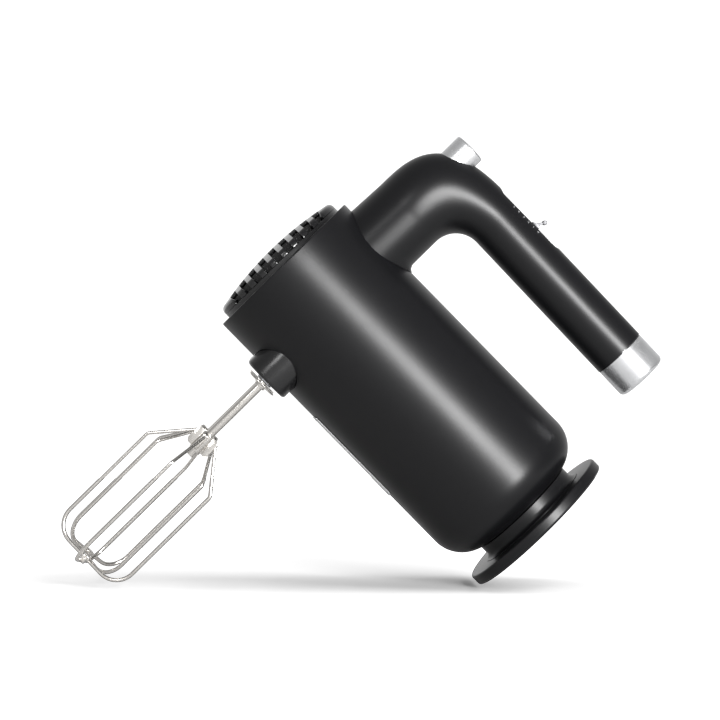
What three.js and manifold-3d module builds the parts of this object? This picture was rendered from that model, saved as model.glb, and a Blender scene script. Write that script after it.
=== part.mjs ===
// A hand mixer that stands upright on its round heel, in millimetres. +Z runs up the barrel,
// the handle is on +X, the beaters point to -X, and the user's left is -Y.
// The origin is the centre of the heel's flat underside.

import * as THREE from "three";
import { mergeVertices } from "three/addons/utils/BufferGeometryUtils.js";
import Module from "manifold-3d";

const wasm = await Module();
wasm.setup();

// ---------- driving dimensions ----------

const gap = 0.3; // assembly clearance between neighbouring pieces
const seam = 0.15; // each half shell stops this far from the middle plane
const far = 400; // half-size of the blocks that cut a whole side away
const fine = { curveSegments: 12 }; // for round outlines over about 7 mm in radius

const heel = { radius: 45.4, thickness: 6.3, edge: 1.3 };
const neck = { radius: 30.5, height: 7.7, wall: 3, roof: 1.6, bore: 11 };
const barrel = { radius: 46, length: 183.6, wall: 2.4, heelRound: 19.4, rimEdge: 0.8, lip: 2.6 };
const grille = {
  radius: 41, wall: 2.6, skirt: 9, flange: 1.8, flangeHeight: 3.6, edgeHeight: 2.6, edgeRound: 3.4,
  crownRadius: 190, crownHeight: 10.3, web: 3, slots: 9, pitch: 7.65, slot: 4, depth: 5.5, sill: 2.2,
  spineHalf: 1.3, spineDrop: 2,  // the wall that hangs from the middle web
};
const handle = {
  setback: 26.8, rootHalfWidth: 24.4, rootHalfHeight: 22.6, neckHalfWidth: 22, wall: 2.2,
  bendRadius: 15.3, bendX: 67.2, elbowRise: 58, elbowSquareness: 3.05,
  gripRadius: 15, gripEnd: 160.9, gripLean: 1.65, innerRib: 62, ribThickness: 2,
};
const cap = { length: 18.3, radius: 14.8, edge: 2.7, dome: 0.5, plug: 7 };
const button = { radius: 9, top: 116.2, edge: 1.2, bottom: 92, flange: 10.6, flangeThickness: 2 };
const ejector = { setback: 25.8, travel: 5, rod: 2.5, plateX: 20, plate: 3, pin: 2, springRadius: 4.4 };
const panel = { start: 51.8, length: 46.4, ramp: 4, depth: 1.6, thickness: 1.2, halfWidth: 6.2 };
const slider = { stem: 4, stemHalf: 1.2, travel: 18, height: 6.4, paddleHalf: 3.4, base: 12 };
const boss = { halfLength: 31.5, halfWidth: 13.5, face: 50.3, inner: 30, wall: 2.4, endWall: 3, edge: 1.2 };
const beater = {
  setback: 37.4, spacing: 32, shaft: 2.35, top: 4.2, collar: 8.85, collarX: 52.6, collarThickness: 1,
  hubTop: 91.8, hubLength: 11.9, sleeve: 3.6, ear: 7.4, earHalf: 1.8, tail: 3.5,
  wire: 0.95, cage: 24.2, shoulder: 115, corner: 12, tip: 187.5,
};
const beaterAngles = { left: -9.9, right: 45 }; // turn of each cage about its shaft, in degrees
const socket = { radius: 4.7, bore: 2.75, nose: 51.5, tail: 12.5, collar: 6.4, collarX: 22.7 };
const gear = { teeth: 20, module: 1.2, tip: 13, root: 10.6, halfWidth: 3.5, hub: 7, hubHalf: 5 };
const tooth = { tip: 0.75, root: 2.3 };
const worm = { pitchRadius: 4, tip: 5, root: 2.7, halfLength: 13, crest: 0.67, foot: 2.35 };
const gearbox = { base: 27, plate: 4, top: 8, halfWidth: 30, baseHalfWidth: 33.6, room: 18, wall: 5.6 };
const cover = { thickness: 3, screwY: 26, screw: 1.3, head: 2.6, headHeight: 1.6, screwLength: 9 };
const shaft = { radius: 2.5, rear: 50 };
const bush = { radius: 5, length: 6 };
const stator = { halfX: 24, halfY: 29, length: 28, rear: 84, bore: 14.6, poleHalf: 9.2, window: 16, depth: 22.3 };
const coil = { bulge: 6.2, inner: 15.6 };
const armature = { radius: 13.8, slots: 8, slot: 3, slotRoot: 8, slotTop: 12.6, mouth: 1.4, overhang: 5.4 };
const commutator = { radius: 9, rear: 64, length: 12 };
const fan = { radius: 27.5, hub: 7, z: 121, height: 12, disc: 1.5, blades: 9, blade: 1.2 };
const bracket = { postX: 19, postY: 26, post: 3.5, bore: 1.8, plate: 3, rearZ: 56, rearHalfX: 26, rearHalfY: 30 };
const motorScrew = { radius: 1.5, head: 3, headHeight: 2.5 };
const brush = { halfY: 3, halfZ: 3, length: 11, holderHalf: 5.5, holderLength: 15.5 };
const heelScrew = { circle: 18, count: 3, radius: 1.6, head: 3, recess: 0.4, headHeight: 1.9, length: 21.7 };
const label = { z: 69.1, height: 58.3, halfWidth: 10.4, thickness: 0.3 };
const grommet = { radius: 2.9, bore: 2.2, length: 6.5, proud: 0.7 };
const lead = 1.8; // radius of the sleeved internal leads
const switchBox = { halfWidth: 7, depth: 12, length: 34, top: 107 };

// ---------- places that follow from them ----------

const neckZ = heel.thickness;
const barrelZ = neckZ + neck.height;
const rimZ = barrelZ + barrel.length;
const beaterZ = rimZ - beater.setback;
const rootZ = rimZ - handle.setback;
const ejectZ = rimZ - ejector.setback;
const bendZ = rootZ - handle.rootHalfHeight - handle.bendRadius + 0.5;
const gripX = handle.bendX + handle.bendRadius + handle.gripRadius;
const gripEndZ = rimZ - handle.gripEnd;
const panelX = gripX + handle.gripRadius - panel.depth;
const panelTopZ = rimZ - panel.start;
const panelEndZ = panelTopZ - panel.length;
const wallInside = barrel.radius - barrel.wall;
const gearRadius = (gear.teeth * gear.module) / 2;
const lead360 = Math.PI * gear.module; // the worm's advance in one turn
const frontWallZ = beaterZ + gearbox.room;
const rearWallZ = beaterZ - gearbox.room - gearbox.wall;
const statorTop = stator.rear + stator.length;
const frontPlateZ = rearWallZ - bracket.plate;

// ---------- colours ----------

const paint = (color, roughness, metalness) => ({ color, roughness, metalness });
const softBlack = paint(0x262628, 0.55, 0);
const glossBlack = paint(0x1c1c1e, 0.3, 0);
const satinSilver = paint(0xb9bbbe, 0.35, 0.9);
const chrome = paint(0xcfccc8, 0.15, 1);
const steel = paint(0x8d9094, 0.4, 1);
const copper = paint(0xb06a3a, 0.4, 1);
const nylon = paint(0xe4e1d6, 0.5, 0);
const bronze = paint(0x9c7a4a, 0.45, 1);
const carbon = paint(0x303030, 0.8, 0);

const model = new THREE.Group();

// ---------- making solids ----------

// A closed three.js geometry as a manifold solid, turned right side out.
function solid(geometry) {
  geometry.deleteAttribute("normal");
  geometry.deleteAttribute("uv");
  const merged = mergeVertices(geometry, 1e-4);
  const build = () =>
    new wasm.Manifold(
      new wasm.Mesh({
        numProp: 3,
        vertProperties: merged.attributes.position.array,
        triVerts: new Uint32Array(merged.index.array),
      }),
    );
  const made = build();
  if (made.volume() > 0) return made;
  const index = merged.index.array;
  for (let i = 0; i < index.length; i += 3) [index[i + 1], index[i + 2]] = [index[i + 2], index[i + 1]];
  return build();
}

function add(name, body, finish, parent = model) {
  const { vertProperties, triVerts } = body.getMesh();
  const geometry = new THREE.BufferGeometry();
  geometry.setAttribute("position", new THREE.BufferAttribute(vertProperties, 3));
  geometry.setIndex(new THREE.BufferAttribute(triVerts, 1));
  geometry.computeVertexNormals();
  const mesh = new THREE.Mesh(geometry, new THREE.MeshStandardMaterial(finish));
  mesh.name = name;
  parent.add(mesh);
  return mesh;
}

// Extrusions along each axis. The shape's two coordinates are the next two axes in turn.
const toX = new THREE.Matrix4().set(0, 0, 1, 0, 1, 0, 0, 0, 0, 1, 0, 0, 0, 0, 0, 1);
const toY = new THREE.Matrix4().set(0, 1, 0, 0, 0, 0, 1, 0, 1, 0, 0, 0, 0, 0, 0, 1);

function prism(shape, from, to, matrix = new THREE.Matrix4(), options = {}) {
  const settings = { depth: to - from, bevelEnabled: false, curveSegments: 6, ...options };
  const geometry = new THREE.ExtrudeGeometry(shape, settings);
  return solid(geometry.translate(0, 0, from).applyMatrix4(matrix));
}

const alongX = (shape, from, to, options) => prism(shape, from, to, toX, options);
const alongY = (shape, from, to, options) => prism(shape, from, to, toY, options);
const alongZ = (shape, from, to, options) => prism(shape, from, to, undefined, options);

function circle(radius, x = 0, y = 0) {
  return new THREE.Shape().absarc(x, y, radius, 0, 2 * Math.PI, false);
}

function rectangle(x0, y0, x1, y1) {
  return polygon([[x0, y0], [x1, y0], [x1, y1], [x0, y1]]);
}

function polygon(points) {
  return new THREE.Shape(points.map(([x, y]) => new THREE.Vector2(x, y)));
}

// A bar with round ends, long in the shape's first coordinate.
function stadium(halfLength, radius, x = 0, y = 0) {
  const straight = halfLength - radius;
  return new THREE.Shape()
    .absarc(x + straight, y, radius, -Math.PI / 2, Math.PI / 2, false)
    .absarc(x - straight, y, radius, Math.PI / 2, (3 * Math.PI) / 2, false)
    .closePath();
}

function box(x0, x1, y0, y1, z0, z1) {
  return alongZ(rectangle(x0, y0, x1, y1), z0, z1);
}

// A turned solid about Z from [radius, z] points.
function turned(points, segments = 40) {
  const profile = points.map(([r, z]) => new THREE.Vector2(r, z));
  return solid(new THREE.LatheGeometry(profile, segments).rotateX(Math.PI / 2));
}

// The same about X, through y and z, from [radius, x] points.
function turnedX(points, y, z, segments = 24) {
  const profile = points.map(([r, x]) => new THREE.Vector2(r, x));
  return solid(new THREE.LatheGeometry(profile, segments).rotateZ(-Math.PI / 2).translate(0, y, z));
}

// Points of an arc from one angle to another, in degrees.
function arc(cx, cy, radius, from, to, steps) {
  return Array.from({ length: steps + 1 }, (_, i) => {
    const a = THREE.MathUtils.degToRad(from + ((to - from) * i) / steps);
    return [cx + radius * Math.cos(a), cy + radius * Math.sin(a)];
  });
}

// A closed skin over a row of rings with equal point counts, capped at both ends.
function loft(rings) {
  const count = rings[0].length;
  const positions = rings.flat().flatMap((p) => [p.x, p.y, p.z]);
  const index = [];
  const capEnd = (ring, first, flip) => {
    const centre = ring.reduce((sum, p) => sum.add(p), new THREE.Vector3()).divideScalar(count);
    const middle = positions.push(centre.x, centre.y, centre.z) / 3 - 1;
    for (let j = 0; j < count; j++) {
      const edge = [first + j, first + ((j + 1) % count)];
      index.push(middle, ...(flip ? edge.reverse() : edge));
    }
  };
  for (let i = 0; i + 1 < rings.length; i++)
    for (let j = 0; j < count; j++) {
      const [a, b] = [i * count + j, i * count + ((j + 1) % count)];
      index.push(a, b, b + count, a, b + count, a + count);
    }
  capEnd(rings[0], 0, true);
  capEnd(rings.at(-1), (rings.length - 1) * count, false);
  const geometry = new THREE.BufferGeometry();
  geometry.setAttribute("position", new THREE.Float32BufferAttribute(positions, 3));
  return solid(geometry.setIndex(index));
}

// A round wire through points that all lie square to one normal.
function wireThrough(points, normal, radius, sides = 8) {
  const rings = points.map((p, i) => {
    const before = points[Math.max(i - 1, 0)];
    const after = points[Math.min(i + 1, points.length - 1)];
    const across = after.clone().sub(before).normalize().cross(normal);
    return Array.from({ length: sides }, (_, j) => {
      const a = (2 * Math.PI * j) / sides;
      return p.clone().addScaledVector(normal, radius * Math.cos(a))
        .addScaledVector(across, radius * Math.sin(a));
    });
  });
  return loft(rings);
}

const union = (parts) => parts.reduce((sum, part) => sum.add(part));
const cut = (body, parts) => parts.reduce((rest, part) => rest.subtract(part), body);
const leftSide = () => box(-far, far, -far, -seam, -far, far);
const rightSide = () => box(-far, far, seam, far, -far, far);

function addHalves(name, body, finish) {
  add(`${name}_left`, body.intersect(leftSide()), finish);
  add(`${name}_right`, body.intersect(rightSide()), finish);
}

// ---------- heel, neck and cord wrap ----------

const screwPlaces = Array.from({ length: heelScrew.count }, (_, i) => {
  const a = THREE.MathUtils.degToRad(30 + (360 / heelScrew.count) * i);
  return [heelScrew.circle * Math.cos(a), heelScrew.circle * Math.sin(a)];
});

function makeHeel() {
  const { radius, thickness, edge } = heel;
  const profile = [[0, 0], ...arc(radius - edge, edge, edge, -90, 0, 2),
    ...arc(radius - edge, thickness - edge, edge, 0, 90, 2), [0, thickness]];
  const headRoom = heelScrew.recess + heelScrew.headHeight + gap;
  const holes = screwPlaces.flatMap(([x, y]) => [
    alongZ(circle(heelScrew.radius + gap, x, y), -1, thickness + 1),
    alongZ(circle(heelScrew.head + gap, x, y), -1, headRoom),
  ]);
  add("heel_disc", cut(turned(profile), holes), softBlack);
  screwPlaces.forEach(([x, y], i) => {
    const neckDown = heelScrew.recess + heelScrew.headHeight;
    const head = alongZ(circle(heelScrew.head, x, y), heelScrew.recess, neckDown);
    const shank = alongZ(circle(heelScrew.radius, x, y), neckDown - gap, neckDown + heelScrew.length);
    add(`heel_screw_${i + 1}`, head.add(shank), steel);
  });
}

const grommetZ = neckZ + gap + grommet.radius + gap;

function makeNeck() {
  const inner = neck.radius - neck.wall;
  const skin = turned([[neck.radius, neckZ], [neck.radius, barrelZ], [neck.bore, barrelZ],
    [neck.bore, barrelZ - neck.roof], [inner, barrelZ - neck.roof], [inner, neckZ], [neck.radius, neckZ]]);
  const posts = screwPlaces.map(([x, y]) => alongZ(circle(4, x, y), neckZ, barrelZ - neck.roof / 2));
  const holes = screwPlaces.map(([x, y]) => alongZ(circle(heelScrew.radius + gap, x, y), -1, barrelZ + 1));
  const start = neck.radius + grommet.proud - grommet.length;
  const inlet = alongY(circle(grommet.radius + gap, grommetZ, 0), start - 1, neck.radius + 1);
  add("cord_spool_neck", cut(union([skin, ...posts]), [...holes, inlet]), softBlack);
  const ring = alongY(circle(grommet.radius, grommetZ, 0), start, neck.radius + grommet.proud);
  const bore = alongY(circle(grommet.bore, grommetZ, 0), start - 1, neck.radius + grommet.proud + 1);
  add("cord_inlet_grommet", ring.subtract(bore), glossBlack);
}

// ---------- barrel ----------

function makeBarrel() {
  const { radius, wall, heelRound, rimEdge, lip } = barrel;
  const mouth = grille.radius + gap;
  const roundX = radius - heelRound;
  const roundZ = barrelZ + heelRound;
  const profile = [
    [neck.bore, barrelZ], ...arc(roundX, roundZ, heelRound, -90, 0, 5),
    [radius, rimZ - rimEdge], [radius - rimEdge, rimZ], [mouth, rimZ], [mouth, rimZ - lip],
    [wallInside, rimZ - lip], ...arc(roundX, roundZ, heelRound - wall, 0, -90, 3),
    [neck.bore, barrelZ + wall], [neck.bore, barrelZ],
  ];
  const bosses = screwPlaces.map(([x, y]) => alongZ(circle(3.8, x, y), barrelZ + wall / 2, barrelZ + 12));
  const screwHoles = screwPlaces.map(([x, y]) =>
    alongZ(circle(heelScrew.radius + gap, x, y), barrelZ - 1, barrelZ + 11.5));
  const socketHole = alongX(stadium(boss.halfLength + gap, boss.halfWidth + gap, 0, beaterZ), -far, -20);
  const handleHole = alongX(circle(16, 0, rootZ), 20, far, fine);
  const shell = union([turned(profile), ...bosses]);
  addHalves("body_shell", cut(shell, [...screwHoles, socketHole, handleHole]), softBlack);
}

function makeLabel() {
  const inner = barrel.radius + gap;
  const half = THREE.MathUtils.radToDeg(Math.asin(label.halfWidth / barrel.radius));
  const outline = [...arc(0, 0, inner + label.thickness, 180 - half, 180 + half, 8),
    ...arc(0, 0, inner, 180 + half, 180 - half, 8)];
  add("rating_label", alongZ(polygon(outline), label.z, label.z + label.height), satinSilver);
}

// The dome has slots that run in from both sides to a solid middle web.
function makeGrille() {
  const g = grille;
  const bottom = rimZ - g.skirt;
  const crown = (inset) => {
    const edge = g.radius - inset;
    const top = rimZ + g.crownHeight - inset;
    const shoulder = edge - g.edgeRound;
    const drop = g.crownRadius - Math.sqrt(g.crownRadius ** 2 - shoulder ** 2);
    const dome = Array.from({ length: 3 }, (_, i) => {
      const r = shoulder * (1 - i / 2);
      return [r, top - g.crownRadius + Math.sqrt(g.crownRadius ** 2 - r ** 2)];
    });
    const turn = [edge - g.edgeRound * 0.3, top - drop - g.edgeRound * 0.3];
    return [[edge, rimZ + g.edgeHeight - inset / 2], turn, ...dome];
  };
  const flangeTop = rimZ - barrel.lip - gap;
  const outer = turned([[0, bottom], [g.radius, bottom], [g.radius, flangeTop - g.flangeHeight],
    [g.radius + g.flange, flangeTop - g.flangeHeight + 1], [g.radius + g.flange, flangeTop],
    [g.radius, flangeTop], ...crown(0)], 36);
  const inner = turned([[0, bottom - 1], [g.radius - g.wall, bottom - 1], ...crown(g.wall)], 16);
  const slots = [];
  for (let k = 0; k < g.slots; k++) {
    const x = (k - (g.slots - 1) / 2) * g.pitch;
    for (const side of [-1, 1])
      slots.push(box(x - g.slot / 2, x + g.slot / 2, Math.min(side * g.web, side * far),
        Math.max(side * g.web, side * far), rimZ + g.sill, rimZ + far));
  }
  const spine = outer.intersect(box(-far, far, -g.spineHalf, g.spineHalf, rimZ - g.spineDrop, rimZ + far));
  add("front_grille", cut(outer.subtract(inner), slots).add(spine), glossBlack);
}

// The stadium-shaped boss around the two drive sockets, hollow behind its end wall.
function makeBoss() {
  const bevel = { bevelEnabled: true, bevelThickness: boss.edge, bevelSize: boss.edge,
    bevelOffset: -boss.edge, bevelSegments: 2, curveSegments: 6 };
  const outer = alongX(stadium(boss.halfLength, boss.halfWidth, 0, beaterZ),
    -boss.face + boss.edge, -boss.inner - boss.edge, bevel);
  const room = alongX(stadium(boss.halfLength - boss.wall, boss.halfWidth - boss.wall, 0, beaterZ),
    -boss.face + boss.endWall, 0);
  const holes = [-1, 1].map((side) =>
    alongX(circle(socket.radius + gap, (side * beater.spacing) / 2, beaterZ), -far, 0));
  add("beater_socket_boss", cut(outer, [room, ...holes]), glossBlack);
}

// ---------- handle ----------

// The handle as rings across its path: out of the barrel, round the elbow, down the grip.
// Inset moves the skin inwards, and the two ends can be pulled past the shell's ends.
function handleForm(inset, startX, endZ, sides) {
  const h = handle;
  const elbowTop = bendZ + h.elbowRise;
  const rootTop = rootZ + h.rootHalfHeight;
  const rootBottom = bendZ + h.bendRadius;
  const rings = [];
  const ring = (x, z, angle, halfHeight, halfWidth) => {
    const outward = new THREE.Vector3(Math.sin(angle), 0, Math.cos(angle));
    rings.push(Array.from({ length: sides }, (_, j) => {
      const a = (2 * Math.PI * j) / sides;
      return new THREE.Vector3(x, 0, z).addScaledVector(outward, (halfHeight - inset) * Math.cos(a))
        .setY((halfWidth - inset) * Math.sin(a));
    }));
  };
  for (const x of [startX, barrel.radius, (barrel.radius + h.bendX) / 2]) {
    const along = Math.max(0, (x - startX) / (h.bendX - startX));
    const top = THREE.MathUtils.lerp(rootTop, elbowTop, along);
    const width = THREE.MathUtils.lerp(h.rootHalfWidth, h.neckHalfWidth, along);
    ring(x, (top + rootBottom) / 2, 0, (top - rootBottom) / 2, width);
  }
  const steps = 8;
  for (let i = 0; i <= steps; i++) {
    const angle = (Math.PI / 2) * (i / steps);
    const rise = (Math.cos(angle) / h.elbowRise) ** h.elbowSquareness;
    const reach = (Math.sin(angle) / (h.bendRadius + 2 * h.gripRadius)) ** h.elbowSquareness;
    const outer = (rise + reach) ** (-1 / h.elbowSquareness);
    const middle = (outer + h.bendRadius) / 2;
    const width = THREE.MathUtils.lerp(h.neckHalfWidth, h.gripRadius, THREE.MathUtils.smoothstep(i, 0, steps));
    ring(h.bendX + middle * Math.sin(angle), bendZ + middle * Math.cos(angle), angle,
      (outer - h.bendRadius) / 2, width);
  }
  ring(gripAxisX(endZ), endZ, Math.PI / 2, h.gripRadius, h.gripRadius);
  return loft(rings);
}

// The grip leans towards the barrel a little as it runs down.
function gripAxisX(z) {
  return gripX - (handle.gripLean * (bendZ - z)) / (bendZ - gripEndZ);
}

const slotTop = sliderRestZ() + slider.travel + slider.stem / 2 + 1;
const slotBottom = sliderRestZ() - slider.stem / 2 - 1;

function sliderRestZ() {
  return panelEndZ + panel.ramp + 14;
}

function panelSlot() {
  return box(panelX - 6, panelX + 6, -slider.stemHalf - gap, slider.stemHalf + gap, slotBottom, slotTop);
}

function makeHandle() {
  const h = handle;
  const outer = handleForm(0, 20, gripEndZ, 32);
  const inner = handleForm(h.wall, 19, gripEndZ - 1, 20);
  const rib = box(h.innerRib, h.innerRib + h.ribThickness, -far, far, -far, far).intersect(outer);
  const rodHole = alongX(circle(ejector.rod + gap, 0, ejectZ), 0, far / 4);
  const leadHole = alongX(circle(lead + 2 * gap, 0, leadZ()), h.innerRib - 5, h.innerRib + 5);
  const barrelRoom = alongZ(circle(barrel.radius + gap), -far, far, { curveSegments: 24 });
  const buttonHole = alongX(circle(button.radius + gap, 0, ejectZ), button.bottom - 3, far, fine);
  const edge = gripX + h.gripRadius + 5;
  const recess = alongY(polygon([
    [panelEndZ - panel.ramp, edge], [panelEndZ - panel.ramp, panelX + panel.depth + gap],
    [panelEndZ + panel.ramp / 2, panelX], [panelTopZ - panel.ramp / 2, panelX],
    [panelTopZ + panel.ramp, panelX + panel.depth + gap], [panelTopZ + panel.ramp, edge]]), -far, far);
  const pocket = box(panelX - panel.thickness - gap, far, -panel.halfWidth - gap, panel.halfWidth + gap,
    panelEndZ + panel.ramp - gap, panelTopZ - panel.ramp + gap);
  const shell = outer.subtract(inner).add(rib);
  addHalves("handle_shell",
    cut(shell, [barrelRoom, rodHole, leadHole, buttonHole, recess, pocket, sliderRoom()]), softBlack);
}

// The space that the slider's hidden base runs in.
function sliderRoom() {
  const half = slider.base / 2 + 1;
  return box(switchBox.top, panelX - panel.thickness, -3, 3, sliderRestZ() - half,
    sliderRestZ() + slider.travel + half);
}

function makeSpeedControl() {
  const face = panelX - panel.thickness;
  const plate = box(face, panelX, -panel.halfWidth, panel.halfWidth, panelEndZ + panel.ramp,
    panelTopZ - panel.ramp);
  add("speed_panel", plate.subtract(panelSlot()), glossBlack);
  const z = sliderRestZ();
  const baseTop = face - gap;
  const baseBottom = switchBox.top + gap;
  const base = box(baseBottom, baseTop, -2.5, 2.5, z - slider.base / 2, z + slider.base / 2);
  const stem = box(baseTop - gap, panelX + 2 * gap, -slider.stemHalf, slider.stemHalf,
    z - slider.stem / 2, z + slider.stem / 2);
  const foot = panelX + gap;
  const tip = panelX + slider.height;
  const paddle = alongY(polygon([[z - 2.5, foot], [z + 2.5, foot], [z + 1.4, foot + 1.6],
    [z - 1.2, tip - 0.6], [z - 2, tip], [z - 3, tip], [z - 3.3, tip - 0.8]]),
    -slider.paddleHalf, slider.paddleHalf);
  add("speed_slider", union([base, stem, paddle]), satinSilver);
  const body = box(switchBox.top - switchBox.depth, switchBox.top, -switchBox.halfWidth, switchBox.halfWidth,
    panelTopZ - panel.ramp - switchBox.length, panelTopZ - panel.ramp);
  add("speed_switch", body, nylon);
}

function makeGripCap() {
  const c = cap;
  const top = gripEndZ - gap;
  const profile = [[0, top - c.length - c.dome], [(c.radius - c.edge) / 2, top - c.length - c.dome * 0.75],
    ...arc(c.radius - c.edge, top - c.length + c.edge, c.edge, -90, 0, 4), [c.radius, top],
    [handle.gripRadius - handle.wall - 2 * gap, top], [handle.gripRadius - handle.wall - 2 * gap, top + c.plug],
    [0, top + c.plug]];
  const lean = Math.atan2(handle.gripLean, bendZ - gripEndZ);
  const turn = new THREE.Matrix4().makeTranslation(gripAxisX(top), 0, top)
    .multiply(new THREE.Matrix4().makeRotationY(lean))
    .multiply(new THREE.Matrix4().makeTranslation(0, 0, -top));
  const profilePoints = profile.map(([r, z]) => new THREE.Vector2(r, z));
  const geometry = new THREE.LatheGeometry(profilePoints, 32).rotateX(Math.PI / 2).applyMatrix4(turn);
  add("grip_end_cap", solid(geometry), satinSilver);
}

// ---------- beater ejector ----------

function makeEjector() {
  const b = button;
  const flangeTop = b.bottom;
  const flangeBottom = b.bottom - b.flangeThickness;
  add("eject_button", turnedX([[0, flangeBottom], [b.flange, flangeBottom], [b.flange, flangeTop],
    [b.radius, flangeTop], [b.radius, b.top - b.edge - 0.5], [b.radius - b.edge * 0.3, b.top - b.edge * 0.3 - 0.5],
    [b.radius - b.edge, b.top - 0.5], [0, b.top]], 0, ejectZ, 32), satinSilver);

  const plateTop = ejector.plateX + ejector.plate;
  add("eject_push_rod", turnedX([[0, plateTop + gap], [ejector.rod, plateTop + gap],
    [ejector.rod, flangeBottom - gap], [0, flangeBottom - gap]], 0, ejectZ, 16), nylon);

  const bar = alongX(stadium(beater.spacing / 2 + 4, 4, 0, beaterZ), ejector.plateX, plateTop);
  const tab = alongX(rectangle(-4, beaterZ, 4, ejectZ + 4), ejector.plateX, plateTop);
  const pinTip = beater.top + ejector.travel + 2 * gap;
  const pins = [-1, 1].map((side) =>
    alongX(circle(ejector.pin, (side * beater.spacing) / 2, beaterZ), pinTip, ejector.plateX + 1));
  add("eject_plate", union([bar, tab, ...pins]), nylon);

  const from = handle.innerRib + handle.ribThickness + 2 * gap + 0.5;
  const to = flangeBottom - 2 * gap - 0.5;
  const turns = 5;
  const perTurn = 8;
  const points = Array.from({ length: turns * perTurn + 1 }, (_, i) => {
    const a = (2 * Math.PI * i) / perTurn;
    return new THREE.Vector3(from + ((to - from) * i) / (turns * perTurn),
      ejector.springRadius * Math.cos(a), ejectZ + ejector.springRadius * Math.sin(a));
  });
  const alongSpring = new THREE.Vector3(1, 0, 0);
  add("eject_spring", wireThrough(points, alongSpring, 0.5, 4), steel);
}

// ---------- motor ----------

const posts = [[-1, -1], [-1, 1], [1, -1], [1, 1]].map(([x, y]) => [x * bracket.postX, y * bracket.postY]);
const screwedPosts = posts.filter(([x]) => x < 0);

function makeStator() {
  const s = stator;
  const core = alongZ(rectangle(-s.halfX, -s.halfY, s.halfX, s.halfY), s.rear, statorTop);
  const windows = alongZ(rectangle(-s.window, -s.depth, s.window, s.depth), s.rear - 1, statorTop + 1);
  const poles = alongZ(rectangle(-s.poleHalf, -s.depth - 1, s.poleHalf, s.depth + 1), s.rear, statorTop);
  const bore = alongZ(circle(s.bore), s.rear - 1, statorTop + 1, { curveSegments: 16 });
  const holes = screwedPosts.map(([x, y]) => alongZ(circle(bracket.bore, x, y), s.rear - 1, statorTop + 1));
  add("stator_core", cut(core.subtract(windows).add(poles), [bore, ...holes]), steel);
  for (const [name, side] of [["left", -1], ["right", 1]]) {
    const [near, deep] = [side * coil.inner, side * (s.depth - gap)];
    const ring = rectangle(s.rear - gap - coil.bulge, -s.window + gap, statorTop + gap + coil.bulge,
      s.window - gap);
    ring.holes.push(rectangle(s.rear - gap, -s.poleHalf - gap, statorTop + gap, s.poleHalf + gap));
    add(`field_coil_${name}`, alongY(ring, Math.min(near, deep), Math.max(near, deep)), copper);
  }
}

function makeBrackets() {
  const b = bracket;
  const rearTop = b.rearZ + b.plate;
  const bearingHole = alongZ(circle(bush.radius + gap), b.rearZ - 5, rearTop + 5);
  const rearPlate = alongZ(rectangle(-b.rearHalfX, -b.rearHalfY, b.rearHalfX, b.rearHalfY), b.rearZ, rearTop);
  const cup = alongZ(circle(bush.radius + 2.5), b.rearZ - 3, rearTop + 1.5);
  const rearPosts = posts.map(([x, y]) => alongZ(circle(b.post, x, y), b.rearZ + 1, stator.rear));
  const vents = [-1, 1].map((side) => alongZ(stadium(7, 4, 0, side * 18), b.rearZ - 1, rearTop + 1));
  const screwHoles = screwedPosts.map(([x, y]) => alongZ(circle(b.bore, x, y), 0, far));
  add("motor_rear_bracket", cut(union([rearPlate, cup, ...rearPosts]), [bearingHole, ...vents, ...screwHoles]),
    nylon);

  const frontPlate = alongZ(rectangle(-b.postX - b.post, -b.postY - b.post, b.postX + b.post, b.postY + b.post),
    frontPlateZ, rearWallZ);
  const legs = posts.map(([x, y]) => alongZ(circle(b.post, x, y), statorTop, frontPlateZ + 1));
  const clear = alongZ(circle(bush.radius + 3), frontPlateZ - 1, rearWallZ + 1);
  add("motor_front_bracket", cut(union([frontPlate, ...legs]), [clear, ...screwHoles]), nylon);

  screwedPosts.forEach(([x, y], i) => {
    const head = alongZ(circle(motorScrew.head, x, y), b.rearZ - gap - motorScrew.headHeight, b.rearZ - gap);
    const shank = alongZ(circle(motorScrew.radius, x, y), b.rearZ - 1, rearWallZ + gearbox.wall - gap);
    add(`motor_screw_${i + 1}`, head.add(shank), steel);
  });
}

function makeBush(name, z) {
  const ring = alongZ(circle(bush.radius), z - bush.length / 2, z + bush.length / 2);
  const hole = alongZ(circle(shaft.radius + gap), z - bush.length, z + bush.length);
  add(name, ring.subtract(hole), bronze);
}

function makeBrushes() {
  const floor = bracket.rearZ + bracket.plate;
  const z = commutator.rear + commutator.length / 2;
  [-1, 1].forEach((side, i) => {
    const span = (from, to) => [Math.min(side * from, side * to), Math.max(side * from, side * to)];
    const start = commutator.radius + 5 * gap;
    const holder = box(...span(start, start + brush.holderLength), -brush.holderHalf, brush.holderHalf,
      floor + gap, z + brush.holderHalf);
    const channel = box(...span(0, far), -brush.halfY - gap, brush.halfY + gap, z - brush.halfZ - gap,
      z + brush.halfZ + gap);
    add(`brush_holder_${i + 1}`, holder.subtract(channel), bronze);
    const contact = commutator.radius + gap;
    add(`carbon_brush_${i + 1}`, box(...span(contact, contact + brush.length), -brush.halfY, brush.halfY,
      z - brush.halfZ, z + brush.halfZ), carbon);
  });
}

// ---------- rotor ----------

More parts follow.
